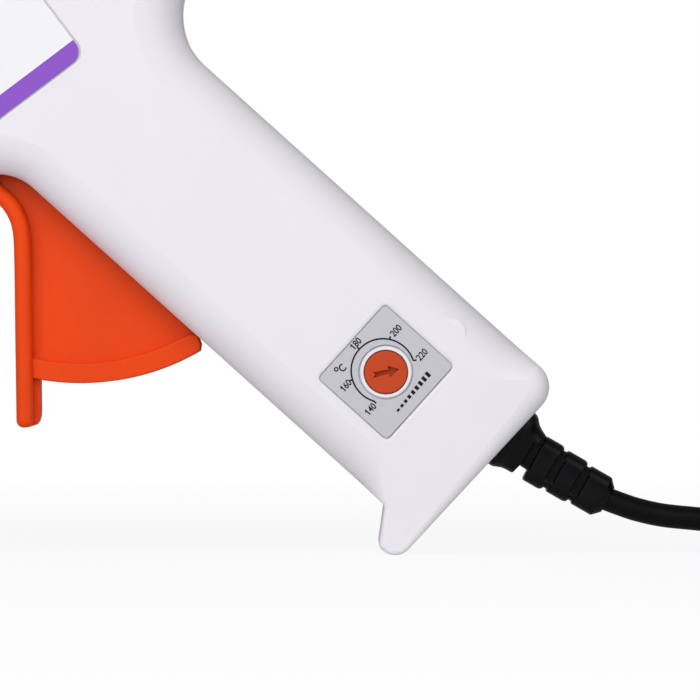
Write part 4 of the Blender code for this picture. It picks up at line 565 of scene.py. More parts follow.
dial = {"centre": (frontAt(body["buttDrop"] - 25.2) + 22.06, -(body["buttDrop"] - 25.2)),
        "length": 19.8, "width": 21.4, "corner": 1.1, "thickness": 0.5, "proud": 0.15,
        "hole": 5.94, "knob": 4.7, "well": 4.86, "sink": 0.25, "knobThickness": 2.6, "potNeck": 1.6, "pot": 4.6}
label = {"length": 74.0, "rear": 13.0, "low": 15.0, "height": 26.1, "pocket": 0.5, "thickness": 0.3,
         "corner": 3.0}
screws = {"sunk": 0.6, "head": 2.6, "headHeight": 1.8, "shank": 1.4, "seat": 2.9, "mouth": 3.65}
label["middle"] = (label["rear"] - label["length"] / 2, label["low"] + label["height"] / 2)
trigger = {"hub": 4.6, "hubHalf": 6.5, "radius": 51.5, "rimDepth": 4.4, "webHalf": 3.4, "rimHalf": 5.4,
           "barHalf": 7.4, "bar": 3.7, "barShift": 0.15, "barCorner": 1.7, "footRadius": 1.6,
           "armReach": 18.0, "armLean": math.radians(11.0), "pin": 1.5}
relief = {"place": 37.1, "bend": math.radians(13.0), "flatness": 0.86, "neck": 9.4, "anchor": 12.6,
          "anchorThickness": 2.2, "flange": 15.2, "flangeThickness": 0.9, "blockLength": 4.2, "notch": 1.6,
          "ribs": (11.0, 10.3, 9.5), "lengths": (5.0, 5.0, 6.7), "groove": 1.1, "dip": 0.5, "bore": 2.68}


def reliefPoint(along, across=0.0):
    heading = body["buttRise"] - math.pi / 2
    x, z = spun((along, across), heading)
    return relief["place"] + x, -buttAt(relief["place"]) + z


def knobBack():
    return half - dial["sink"] - dial["knobThickness"]


def boardFace():
    return knobBack() - gap - dial["potNeck"] - dial["pot"] - gap


def addInside(shell, side):
    outer = half - wall / 2
    for place in bossPlaces():
        join(shell, rod(body["boss"], *mirrored(gap / 2, outer, side), place))
    join(shell, rod(body["hubBoss"], *mirrored(trigger["hubHalf"] + body["running"], outer, side)))
    for place in body["ribs"]:
        rib = box2(-place - body["ribHalf"], body["axis"] - body["ribReach"],
                   -place + body["ribHalf"], body["axis"] + body["ribReach"])
        join(shell, prism(rib, *mirrored(gap, outer, side)))
    inner = 5.9 + 2.2 + body["running"]  # the carriage and its runners
    for sign in (-1, 1):
        near = sign * (1.3 + gap)
        low, high = sorted((near, near + sign * body["railWidth"]))
        rail = box2(-body["railHalf"] - gap, body["axis"] + low, body["railHalf"] - gap, body["axis"] + high)
        join(shell, prism(rail, *mirrored(inner, outer, side)))
    cut(shell, turned(body["chamber"], 64, "X", centre=(0, 0, body["axis"])))


def cutEnds(shell):
    span = wall + over
    for end, hole in ((-body["front"], body["collarHole"]), (body["rear"], body["inletHole"])):
        cut(shell, rod(hole, end - span, end + span, (0, body["axis"]), "X", 72))
    reach = relief["neck"] / 2 + gap
    way = [reliefPoint(a * span, b * reach) for a, b in ((-1, -1), (-1, 1), (1, 1), (1, -1))]
    cut(shell, prism(way, -reach, reach))


def cutSlot(shell):
    inside = body["under"] + wall + over
    drop = 54.0
    outline = [(-30.0, inside), (-30.0, 0), (frontAt(drop) - over, -drop),
               (frontAt(drop) + wall + over, -drop), (-trigger["hub"], inside)]
    cut(shell, prism(outline, -8.0, 8.0))


def cutHoles(shell, side):
    hole = body["screwHole"]
    for x, z in bossPlaces():
        if side < 0:
            cut(shell, rod(hole, -7.6, over, (x, z), sides=24))
        else:
            cut(shell, rod(hole, -over, half, (x, z), sides=24))
            floor = half - screws["sunk"] - screws["headHeight"] - gap
            seat = [(floor, screws["seat"]), (half - 0.35, screws["seat"]), (half + 0.4, screws["mouth"]),
                    (half + over, screws["mouth"])]
            cut(shell, turned(seat, 40, "Y", centre=(x, 0, z)))
    cut(shell, rod(body["pinHole"], *mirrored(trigger["hubHalf"] - gap, half - wall, side), sides=24))
    cut(shell, rod(stand["wire"] + gap, *mirrored(half - wall - over, half + over, side), hinge))


def addStops(shell, side):
    near = stand["wire"] + gap
    lug = placed(roundedPlate(2.6, 2.6, 0.6, (4.6, near + 1.3)), hinge, legHeading)
    join(shell, prism(lug, *mirrored(half - wall - gap, stand["halfWidth"] + stand["wire"], side)))


def cutPocket(shell, width, height, steps, centre, turn=0.0):
    # a shallow seat with softened edges; a step is y, spare width, corner
    rings = []
    for y, spare, corner in steps:
        grown = spare + 2 * gap
        rings.append([(x, y, z) for x, z in roundedPlate(width + grown, height + grown, corner, centre, turn)])
    cut(shell, loft(rings))


def cutDialSeat(shell):
    seat = half - dial["thickness"] + dial["proud"]
    steps = ((-half - over, 1.3, 2.2), (-half - 0.02, 1.3, 2.2), (-half + 0.12, 0.35, 1.5),
             (-half + 0.2, 0.0, 1.2), (-seat + gap, 0.0, 1.2))
    cutPocket(shell, dial["width"], dial["length"], steps, dial["centre"], body["rake"])
    outer = dial["hole"] - gap
    well = dial["well"]
    ring = [(-half - 0.02, well + 0.12), (-half - 0.02, outer - 0.2), (-half + 0.18, outer),
            (-seat + wall / 2, outer), (-seat + wall / 2, well - 0.2), (-half + 0.1, well - 0.2)]
    join(shell, turned(ring, 96, "Y", True, axial("Y", 0, *dial["centre"])))
    cut(shell, rod(well, -half - over, -half + wall + over, dial["centre"], sides=96))


def cutLabelSeat(shell):
    corner = label["corner"]
    steps = ((-half - over, 0.8, corner + 0.4), (-half - 0.02, 0.8, corner + 0.4),
             (-half + 0.12, 0.2, corner + 0.1), (-half + label["pocket"], 0.0, corner))
    cutPocket(shell, label["length"], label["height"], steps, label["middle"])


def addPosts(shell, side):
    outer = half - wall / 2
    if side < 0:
        for sign in (-1, 1):
            spot = alongHandle(dial["centre"], sign * 12.4, 0)
            join(shell, rod(1.8, -outer, -boardFace() - gap, spot))
        return
    for sign in (-1, 1):
        spot = reliefPoint(-7.6, sign * 5.2)
        join(shell, rod(2.2, 2 * gap - 0.8, outer, spot))
        cut(shell, rod(body["screwHole"], gap - 0.8 - over, gap - 0.8 + 7.0, spot, sides=24))
    join(shell, rod(1.6, -3.2, outer, (30.3, body["axis"] - 13.8)))


def makeShell(name, node, side):
    points = evenEdges(filleted(bodyCorners()), 2.5)
    shell = welded(loft(halfRings(points, side, gap / 2, half, body["rings"], body["crease"], 0.22)))
    hollow = filleted(insetCorners(bodyCorners(False), wall), 8.0)
    cut(shell, welded(loft(halfRings(hollow, side, -over, half - wall, 5, math.pi / 2))))
    addInside(shell, side)
    cutEnds(shell)
    cutSlot(shell)
    cutHoles(shell, side)
    addStops(shell, side)
    if side < 0:
        cutDialSeat(shell)
        cutLabelSeat(shell)
    addPosts(shell, side)
    finishPiece(shell, name, gun, "white", node, smooth=9.6)
    print(name, "faces:", len(shell.data.polygons))
    return shell


makeShell("leftShell", "left_shell", -1)
makeShell("rightShell", "right_shell", 1)


# housing screws

def makeScrews():
    top = half - screws["sunk"]
    under, head, shank = top - screws["headHeight"], screws["head"], screws["shank"]
    for i, (x, z) in enumerate(bossPlaces()):
        profile = [(-7.0, 0.6), (-5.6, shank), (under, shank), (under, head), (top - 0.75, head),
                   (top - 0.3, 2.35), (top - 0.08, 1.9), (top, 1.3)]
        screw = turned(profile, 36, "Y", centre=(x, 0, z))
        turn = math.radians(20 + 37 * i)
        for arm in (0, math.pi / 2):
            slot = placed(box2(-1.45, -0.28, 1.45, 0.28), (x, z), turn + arm)
            cut(screw, prism(slot, top - 1.0, top + 1.0))
        finishPiece(screw, f"housingScrew{i + 1}", gun, "steel", f"housing_screw_{i + 1}")


makeScrews()
print("screws done")


# nose

nose = {"seat": -90.3, "tipReach": 20.0, "bore": 0.9, "sleeveBack": 3.3, "sleeveLength": 15.5, "sleeveMouth": 4.95}


def makeNose():
    axis = (0, 0, body["axis"])
    outer = -body["front"] - gap
    inner = -body["front"] + wall + gap
    collar = [(outer - 3.0, 9.2), (outer - 3.0, 13.9), (outer - 2.5, 14.8), (outer - 1.5, 15.4), (outer, 15.4),
              (outer, 12.1), (inner, 12.1), (inner, 13.6), (inner + 2.0, 13.6), (inner + 2.0, 9.2)]
    ring = soften(turned(collar, 96, "X", True, axis), 0.3)
    finishPiece(ring, "frontCollar", gun, "orange", "front_collar")

    seat, tip, bore = nose["seat"], nose["seat"] - nose["tipReach"], nose["bore"]
    shank = [(seat + 6.0, 1.5), (seat + 6.0, 4.6), (seat + 5.6, 5.0), (seat, 5.0), (seat - 0.05, 5.0),
             (seat - 5.0, 5.3), (seat - 5.3, 6.1), (seat - 6.2, 5.9), (seat - 10.0, 4.65), (seat - 18.6, 2.1),
             (tip + 0.4, 1.9), (tip, 1.6), (tip, bore), (seat - 12.5, bore)]
    nozzle = turned(shank, 72, "X", True, axis)
    corners = [polar(1.0, math.tau * (k + 0.5) / 6) for k in range(6)]
    flats = ((seat, 6.6), (seat - 0.7, 7.4), (seat - 4.3, 7.4), (seat - 5.0, 6.6))
    hexagon = loft([[(d, r * a, body["axis"] + r * b) for a, b in corners] for d, r in flats])
    cut(hexagon, rod(3.0, seat - 8.0, seat + 3.0, (0, body["axis"]), "X", 48))
    join(nozzle, soften(hexagon, 0.15))
    finishPiece(nozzle, "nozzleTip", gun, "brass", "nozzle")

    rear, mouth = seat + nose["sleeveBack"], nose["sleeveMouth"]
    front = rear - nose["sleeveLength"]
    sleeve = [(rear, 8.8), (rear, 10.3), (rear - 0.4, 10.7), (seat - 5.0, 10.7), (seat - 5.6, 10.55),
              (front + 0.4, 7.15), (front, 6.7), (front, mouth), (seat - 10.0, mouth),
              (seat - 5.3, 8.0), (seat, 8.8)]
    cover = turned(sleeve, 96, "X", True, axis)
    finishPiece(cover, "nozzleSleeve", gun, "silicone", "nozzle_sleeve")


makeNose()
print("nose done")


# stick inlet

def makeInlet():
    face = body["rear"]
    outer, inner = face + gap, face - wall - gap
    profile = [(inner - 2.4, 5.9), (inner - 2.4, 10.0), (inner, 10.0), (inner, 8.5), (outer, 8.5), (outer, 11.0),
               (outer + 1.3, 11.0), (outer + 1.9, 10.7), (outer + 2.2, 10.1), (outer + 2.2, 7.3),
               (outer + 1.85, 6.5), (outer + 1.0, 5.95)]
    ring = turned(profile, 96, "X", True, (0, 0, body["axis"]))
    finishPiece(ring, "inletRing", gun, "orange", "inlet_ring")


makeInlet()


# trigger

def barLine():
    bend = -20.6
    return [(bend - 0.85, 11.0), (bend, 3.4), (bend + 0.68, 0), (bend + 0.38, -3.4), (bend - 0.85, -6.6),
            (bend - 4.25, -11.7), (-35.4, -26.1), (-46.0, -40.6)]


def arcPoints(radius, start, end, step=2.0):
    # the part of an arc about the pin that lies behind the finger bar; start and end are points
    first, last = math.atan2(start[1], start[0]), math.atan2(end[1], end[0])
    count = max(4, round(math.degrees(abs(last - first)) / step))
    points = [polar(radius, first + (last - first) * i / count) for i in range(count + 1)]
    return [p for p in points if barSide(p)]


def makeTrigger():
    line = [Vector(p[:2]) for p in smoothRoute([Vector((*p, 0)) for p in barLine()], 70)]
    foot = line[-1]
    slope = (foot - line[-6]).normalized()
    across = leftOf(slope)
    piece = makeBar(line, slope)

    web, start, end, heel = trigger["webHalf"], (-44.7, -24.0), (-5.88, -51.17), (-4.15, -47.9)
    fan = arcPoints(trigger["radius"] - 1.2, start, end)
    fan += [(-4.4, -47.9), (trigger["hub"], -trigger["hub"]), (2.3, 3.6), (-9.0, 8.6), (-20.6, 9.4),
            (-20.2, -3.4), (-21.5, -6.6), (-24.85, -11.7)]
    fan = prism(fan, -web, web)
    outer = arcPoints(trigger["radius"], start, end)
    inner = arcPoints(trigger["radius"] - trigger["rimDepth"], start, heel)
    rim = prism(outer + [(-4.8, -50.1), heel] + inner[-2::-1], -trigger["rimHalf"], trigger["rimHalf"])
    soften(rim, 0.42, 4, 60.0)
    section = ((0.2, -0.75), (1.6, -0.8), (2.45, -0.5), (3.05, 0.25), (3.35, 1.3), (3.45, 2.6), (3.45, 9.6),
               (0.2, 9.6))
    rib = soften(prism([tuple(foot + across * a - slope * b) for a, b in section], -web, web), 0.3, 3, 60.0)
    for extra in (fan, rim, rib):
        join(piece, extra)
    join(piece, rod(trigger["hub"], -trigger["hubHalf"], trigger["hubHalf"], sides=48))
    lean, reach = trigger["armLean"], trigger["armReach"]
    arm = [spun(p, -lean) for p in box2(-3.2, 0, 3.2, reach)]
    join(piece, prism(arm, -2.5, 2.5))
    join(piece, rod(trigger["pin"], -5.6, 5.6, (reach * math.sin(lean), reach * math.cos(lean)), sides=24))
    cut(piece, rod(body["pinHole"], -half, half))
    finishPiece(piece, "squeezeTrigger", gun, "orange", "trigger", body="trigger", smooth=38.0)
    print("trigger faces:", len(piece.data.polygons))


def makeBar(line, slope):
    # a rounded strip, swept along the finger line, with a rounded foot
    def section(point, along, inset):
        side = leftOf(along)
        thick, wide = trigger["bar"] - 2 * inset, 2 * (trigger["barHalf"] - inset)
        corner = max(0.2, trigger["barCorner"] - inset)
        middle = point + side * trigger["barShift"]
        return [(middle.x + side.x * a, y, middle.y + side.y * a)
                for a, y in roundedPlate(thick, wide, corner, step=15.0)]
    last = len(line) - 1
    rings = []
    for i, point in enumerate(line):
        along = (line[min(i + 1, last)] - line[max(i - 1, 0)]).normalized()
        rings.append(section(point, along, 0))
    radius = trigger["footRadius"]
    for k in range(1, 7):
        t = math.pi / 2 * k / 6
        rings.append(section(line[-1] + slope * (radius * math.sin(t) - 0.5), slope, radius * (1 - math.cos(t))))
    rings[-7] = section(line[-1] - slope * 0.5, slope, 0)
    return loft(rings)


def barSide(point):
    # keeps what lies behind the middle of the finger bar
    bend, foot = Vector((-24.85, -11.7)), Vector((-46.0, -40.6))
    slope = (foot - bend).normalized()
    off = Vector(point) - bend
    return off.x * slope.y - off.y * slope.x < 0


makeTrigger()


# temperature dial

printed = {"scale": 0.2179, "turn": math.radians(48.0), "lift": 0.05, "height": 1.54,
           "numbers": (("220", 26.0, 39.8), ("200", 76.4, 42.5), ("180", 136.5, 41.3), ("160", 198.3, 41.9),
                       ("140", 247.4, 39.7)),
           "arc": 6.9, "arcCentre": (-0.62, 0.34), "line": 0.34, "tick": 0.7,
           "ticks": ((18.4, 8.0), (78.0, 78.0), (137.8, 137.8), (196.8, 196.8), (253.2, 318.0)),
           "bars": 9, "barStep": 1.25, "barWidth": 0.72}
dialFace = Matrix.Translation(gun @ Vector(axial("Y", 0, *dial["centre"]))) @ milli


def faceOn(points, centre=(0, 0), turn=0.0):
    # a flat shape on the plate, facing the viewer
    top = half + dial["proud"]
    return prism(placed(points, centre, turn), -top - printed["lift"], -top + 0.02)


def placeLettering(text, width, height, centre, turn):
    clearSelection()
    bpy.ops.object.text_add()
    item = bpy.context.object
    item.data.body = text
    item.data.extrude = 0.5
    item.data.resolution_u = 6
    item.data.offset = 0.016
    bpy.ops.object.convert(target="MESH")
    item = bpy.context.object
    xs = [v.co.x for v in item.data.vertices]
    ys = [v.co.y for v in item.data.vertices]
    lift = printed["lift"]
    stretch = Matrix.Diagonal((width / (max(xs) - min(xs)), height / (max(ys) - min(ys)), lift + 0.02, 1))
    middle = Matrix.Translation((-(max(xs) + min(xs)) / 2, -(max(ys) + min(ys)) / 2, 0))
    upright = Matrix.Rotation(math.pi / 2, 4, "X")
    depth = -(half + dial["proud"]) - (lift - 0.02) / 2
    spot = Matrix.Translation((centre[0], depth, centre[1]))
    item.matrix_world = spot @ Matrix.Rotation(-turn, 4, "Y") @ upright @ stretch @ middle
    bpy.ops.object.transform_apply(location=True, rotation=True, scale=True)
    return item


def atDial(angle, radius, centre=(0.0, 0.0)):
    x, z = polar(radius, math.radians(angle))
    return centre[0] + x, centre[1] + z


def placeNumber(text, centre, turn):
    tall = printed["height"] / 2
    if text[0] != "1":
        return [placeLettering(text, 2.6, 2 * tall, centre, turn)]
    shift = spun((0.42, 0.0), turn)
    rest = placeLettering(text[1:], 1.72, 2 * tall, (centre[0] + shift[0], centre[1] + shift[1]), turn)
    one = [(-1.04, -tall), (-0.76, -tall), (-0.76, tall), (-0.98, tall), (-1.08, 0.52), (-1.32, 0.40),
           (-1.32, 0.17), (-1.04, 0.26)]
    return [faceOn(one, centre, turn), rest]


def makePrint():
    radius, line, middle = printed["arc"], printed["line"] / 2, printed["arcCentre"]
    scale, turn, ticks = printed["scale"], printed["turn"], printed["ticks"]
    first, last = ticks[0][0], ticks[-1][0]
    sweep = [first + (last - first) * i / 120 for i in range(121)]
    marks = [faceOn([atDial(a, radius + line, middle) for a in sweep]
                    + [atDial(a, radius - line, middle) for a in sweep[::-1]])]
    for angle, aim in ticks:
        side = Vector(atDial(aim + 90, line))
        start = atDial(angle, radius, middle)
        end = Vector(atDial(aim, printed["tick"], start))
        start = Vector(start)
        marks.append(faceOn([tuple(start - side), tuple(end - side), tuple(end + side), tuple(start + side)]))
    for text, angle, reach in printed["numbers"]:
        marks += placeNumber(text, atDial(angle, reach * scale), turn)
    marks.append(placeLettering("C", 1.3, 1.72, (-9.45, 0.9), turn))
    degree = [polar(0.5, math.tau * i / 32) for i in range(33)]
    marks.append(faceOn(degree + [(a * 0.5, b * 0.5) for a, b in degree[::-1]], (-10.75, 0.62)))
    for k in range(printed["bars"]):  # a plain row of growing bars
        tall = 0.5 + 0.1 * k
        x = -5.0 + printed["barStep"] * k
        bar = box2(x, -0.6, x + printed["barWidth"], -0.6 + tall)
        marks.append(faceOn(bar, (25.4 * scale, -20.8 * scale), turn))
    clearSelection()
    for mark in marks:
        mark.select_set(True)
    bpy.context.view_layer.objects.active = marks[0]
    bpy.ops.object.join()
    finishPiece(marks[0], "dialPrint", dialFace, "ink")


def makeDial():
    top = half + dial["proud"]
    centre = dial["centre"]
    outline = roundedPlate(dial["width"], dial["length"], dial["corner"], centre, body["rake"])
    plate = prism(outline, -top, -top + dial["thickness"])
    cut(plate, rod(dial["hole"], -half - over, -half + wall, centre, sides=96))
    soften(plate, 0.08, 2)
    finishPiece(plate, "dialPlate", gun, "grey", "dial_plate")
    makePrint()

    face, back = half - dial["sink"], knobBack()
    radius, shaft = dial["knob"], 1.5
    profile = [(-face, radius - 0.35), (-face + 0.08, radius - 0.14), (-face + 0.3, radius), (-back, radius),
               (-back, shaft), (-back + 3.4, shaft)]
    knob = turned(profile, 96, "Y", centre=axial("Y", 0, *centre))
    aim = math.radians(12.5) - tilt
    arrow = ((-2.95, -0.62), (0.75, -0.42), (0.6, -1.25), (2.95, 0.0), (0.6, 1.25), (0.75, 0.42), (-2.7, 0.5),
             (-2.3, 0.0))
    cut(knob, prism(placed(arrow, centre, aim), -face - over, -face + 1.4))
    soften(knob, 0.1, 2, 40.0)
    finishPiece(knob, "dialKnob", gun, "knob", "dial_knob", body="dial")


makeDial()
print("dial done")


# barrel sticker

def makeSticker():
    seat = half - label["pocket"] + gap
    outline = roundedPlate(label["length"], label["height"], label["corner"], label["middle"])
    sticker = soften(prism(outline, -seat - label["thickness"], -seat), 0.06, 2)
    finishPiece(sticker, "barrelSticker", gun, "sticker", "barrel_label")


makeSticker()


# strain relief

def squarish(count, power):
    points = [polar(1.0, math.tau * (i + 0.5) / count) for i in range(count)]
    return [tuple(math.copysign(abs(v) ** power, v) for v in point) for point in points]


def reliefRing(along, reach, bend=0.0, shift=0.0):
    heading = body["buttRise"] - math.pi / 2
    knee = relief["flangeThickness"] + relief["blockLength"] + relief["notch"] / 2
    straight = min(along, knee)
    x, z = reliefPoint(straight)
    aim = heading + bend
    x += (along - straight) * math.cos(aim) - shift * math.sin(aim)
    z += (along - straight) * math.sin(aim) + shift * math.cos(aim)
    return [(x - reach * c * math.sin(aim), reach * relief["flatness"] * s, z + reach * c * math.cos(aim))
            for c, s in squarish(64, 0.6)]


def reliefLength():
    return (relief["flangeThickness"] + relief["blockLength"] + relief["notch"] + sum(relief["lengths"])
            + 2 * relief["groove"])


def makeRelief():
    inner, neck, anchor, bend = -wall - gap, relief["neck"] / 2 - gap, relief["anchor"] / 2, relief["bend"]
    flange, foot, waist = relief["flange"] / 2, inner - relief["anchorThickness"], 4.35
    sides = [(foot, anchor - 0.3), (foot + 0.3, anchor), (inner - 0.2, anchor), (inner, anchor - 0.2),
             (inner, neck), (gap, neck), (gap, flange - 0.1), (gap + 0.1, flange), (1.2, 7.5), (1.75, 7.25), (2.3, 6.85),
             (3.1, 6.3), (4.0, 5.95), (5.2, 5.65), (5.5, 5.58), (5.68, 5.45)]
    rings = [(at, reach, 0) for at, reach in sides] + [(5.72, waist, 0, 1.15), (7.0, waist, bend, 1.15)]
    along = relief["flangeThickness"] + relief["blockLength"] + relief["notch"]
    grooves = [(6.2, 4.3)]
    last = len(relief["ribs"]) - 1
    for i, (width, length) in enumerate(zip(relief["ribs"], relief["lengths"])):
        core = width / 2 - relief["dip"]
        if i > 0:
            rings += [(along + 0.25, core, bend), (along + relief["groove"] - 0.2, core, bend)]
            along += relief["groove"]
            grooves.append((along - relief["groove"] / 2, core))
        start = along + (0.4 if i == 0 else 0.0)
        rings += [(start - 0.05, width / 2 - 0.3, bend), (start + 0.15, width / 2 - 0.06, bend),
                  (start + 0.4, width / 2, bend)]
        along += length
        if i < last:
            rings += [(along - 0.75, width / 2, bend), (along - 0.3, width / 2 - 0.12, bend),
                      (along + 0.05, width / 2 - 0.4, bend)]
        else:
            rings += [(along - 1.75, width / 2, bend), (along - 1.5, width / 2 - 0.1, bend),
                      (along - 0.15, 3.25, bend), (along, 3.12, bend)]
    piece = loft([reliefRing(*ring) for ring in rings])
    mouth = []
    for at in (along - 1.2, along + over):
        spots = reliefRing(at, relief["bore"], bend)
        centre = Vector((sum(p[0] for p in spots), 0, sum(p[2] for p in spots))) / len(spots)
        side = (Vector(spots[0]) - centre).normalized()
        mouth.append([tuple(centre + (side * math.cos(t) + Vector((0, 1, 0)) * math.sin(t)) * relief["bore"])
                      for t in [math.tau * k / 48 for k in range(48)]])
    cut(piece, loft(mouth))
    heading = body["buttRise"] - math.pi / 2 + bend
    for at, core in grooves:  # side windows between the ribs
        spots = reliefRing(at, core, bend)
        centre = (sum(p[0] for p in spots) / len(spots), sum(p[2] for p in spots) / len(spots))
        shape = roundedPlate(2.3, core * 1.5, 0.8, centre, heading)
        deep = core * relief["flatness"] - 1.5
        for side in (-1, 1):
            rings = [[(centre[0] + (x - centre[0]) * share, side * y, centre[1] + (z - centre[1]) * share)
                      for x, z in shape] for y, share in ((deep, 0.75), (deep + 0.5, 1.0), (9.0, 1.0))]
            cut(piece, loft(rings))
    finishPiece(piece, "strainRelief", gun, "rubber", "strain_relief", smooth=38.0)


makeRelief()
print("strain relief done")


# wire stand

def makeStand():
    floorDrop = -min((gun.to_3x3() @ Vector((x, 0, z))).z * 1000 for x, z, e in filleted(bodyCorners(), 20.0))
    height = hinge[0] * math.sin(tilt) + hinge[1] * math.cos(tilt) + floorDrop
    length = (height - stand["wire"]) / math.cos(stand["toe"])
    bend, near, far = stand["bend"], stand["halfWidth"], stand["footHalfWidth"]
    leg = [(0, half - 5.0 + wall), (0, near - bend / 4), (bend / 4, near + bend / 12), (bend, near + bend / 6),
           (length / 3, near + (far - near) / 4), (length - bend, far - bend / 5),
           (length - bend / 3, far - bend / 3), (length, far - bend)]
    line = leg + [(d, -y) for d, y in leg[::-1]]
    stops = [Vector((d * math.cos(legHeading), y, d * math.sin(legHeading))) for d, y in line]
    route = smoothRoute(stops, 15 * 9)
    wire = tube([p + Vector((hinge[0], 0, hinge[1])) for p in route], stand["wire"], 20)
    finishPiece(wire, "wireStand", gun, "steel", "wire_stand", body="stand", smooth=50.0)


makeStand()
print("stand done")


# cord, coil, tie and plug

cordPlan = {
    "diameter": 5.2, "tuck": 0.9, "route": ((118.4, 10.55), (122.2, 9.3), (128.0, 8.05), (137.0, 7.1)),
    "bend": 24.0, "swing": math.radians(60.0), "bendSteps": 5,
    "pitch": 5.72, "outer": 32.45, "wholeTurns": 8, "layers": 4, "steps": 60, "climb": 0.5,
    "tailRun": 8.0, "tailFall": 30.0, "tieThickness": 1.1, "tieWidth": 6.0,
}
plug = {"length": 27.0, "width": 21.0, "height": 19.0, "neck": 9.0, "blade": (17.0, 6.35, 1.5), "spacing": 12.7}


def toYard(point):
    world = gun @ Vector((point[0], 0, point[1]))
    return (world.x - pivot.x) * 1000, world.z * 1000


def coilRise():
    return cordPlan["diameter"] / 2 + cordPlan["tieThickness"] + gap


def coilSpan():
    return (cordPlan["wholeTurns"] + cordPlan["swing"] / math.tau) / cordPlan["layers"]


def swingHeading():
    return Vector((math.cos(cordPlan["swing"]), -math.sin(cordPlan["swing"]), 0))


def leadBend():
    # the lead turns sideways while it comes down to the floor
    x, z = cordPlan["route"][-1]
    points = []
    for i in range(1, cordPlan["bendSteps"] + 1):
        share = i / cordPlan["bendSteps"]
        angle = cordPlan["swing"] * share
        height = z + (coilRise() - z) * math.sin(math.pi / 2 * share)
        inward = cordPlan["bend"] * (math.cos(angle) - 1)
        points.append(Vector((x + cordPlan["bend"] * math.sin(angle), inward, height)))
    return points


def coilCentre():
    away = Vector((math.sin(cordPlan["swing"]), math.cos(cordPlan["swing"]), 0))
    return leadBend()[-1] + swingHeading() * (cordPlan["diameter"] + gap) + away * cordPlan["outer"]


def coilTail(start):
    drop = start.z - plug["height"] / 2
    points = [start + Vector((cordPlan["diameter"], 0, 0))]
    for i in range(17):
        share = i / 16
        fall = drop * (3 * share ** 2 - 2 * share ** 3)
        points.append(start + Vector((cordPlan["tailRun"] + cordPlan["tailFall"] * share, 0, -fall)))
    return [*points, points[-1] + Vector((cordPlan["diameter"] / 2, 0, 0))]


def coilPoints():
    span, layers, climb = coilSpan(), cordPlan["layers"], cordPlan["climb"]
    total = span * layers
    steps = round(total * cordPlan["steps"])
    centre = coilCentre()
    points = []
    for i in range(steps + 1):
        turns = total * i / steps
        phase = turns % (2 * span)
        radius = cordPlan["outer"] - cordPlan["pitch"] * (phase if phase <= span else 2 * span - phase)
        lift = sum(min(1.0, max(0.0, (turns - k * span) / climb + 0.5)) for k in range(1, layers))
        angle = -math.pi / 2 - cordPlan["swing"] + math.tau * turns
        points.append(centre + Vector((*polar(radius, angle), cordPlan["pitch"] * lift)))
    first = points[0] - swingHeading() * cordPlan["diameter"]
    return [first, *points, *coilTail(points[-1])]


def makeCord():
    end = reliefRing(reliefLength(), 0.0, relief["bend"])[0]
    exitX, exitZ = toYard((end[0], end[2]))
    heading = body["buttRise"] - math.pi / 2 + relief["bend"] + tilt
    startX, startZ = polar(cordPlan["tuck"], heading)  # the jacket starts inside the relief's bore
    stops = [Vector((exitX - startX, 0, exitZ - startZ))]
    stops += [Vector((x, 0, z)) for x, z in cordPlan["route"]] + leadBend()
    line = smoothRoute(stops, 10 * len(stops)) + coilPoints()
    points = [yard @ p for p in line]
    length = sum((b - a).length for a, b in zip(points, points[1:]))
    curve = bpy.data.curves.new("mainsCord", "CURVE")
    curve.dimensions = "3D"
    curve.bevel_depth = cordPlan["diameter"] / 2000
    curve.bevel_resolution = 6
    curve.use_fill_caps = True
    spline = curve.splines.new("POLY")
    spline.points.add(len(points) - 1)
    for knot, point in zip(spline.points, points):
        knot.co = (*point, 1.0)
    cord = linked("mainsCord", curve)
    curve.materials.append(finishes["cord"])
    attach(cord, "housing")
    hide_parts("cord_lead", "cord_coil")
    return cord, points, length, line[-1]


def makeTie():
    centre, spare = coilCentre(), cordPlan["diameter"] / 2 + gap
    width = cordPlan["tieWidth"] / 2
    reach = [p.y - centre.y for p in coilPoints() if abs(p.x - centre.x) < 2 * width and p.y > centre.y]
    low, high = min(reach) - spare, max(reach) + spare  # snug round the loops on that side
    top = coilRise() + cordPlan["pitch"] * (cordPlan["layers"] - 1) + cordPlan["diameter"] / 2 + gap
    thick = cordPlan["tieThickness"]
    middle = ((low + high) / 2 + centre.y, (top + thick) / 2)
    outer = roundedPlate(high - low + 2 * thick, top + thick, 2.2, middle)
    inner = roundedPlate(high - low, top - thick, 1.1, middle)
    band = prism(outer, centre.x - width, centre.x + width, "X")
    cut(band, prism(inner, centre.x - width - over, centre.x + width + over, "X"))
    soften(band, 0.25, 2)
    return finishPiece(band, "cordTie", yard, "rubber", "cord_tie")


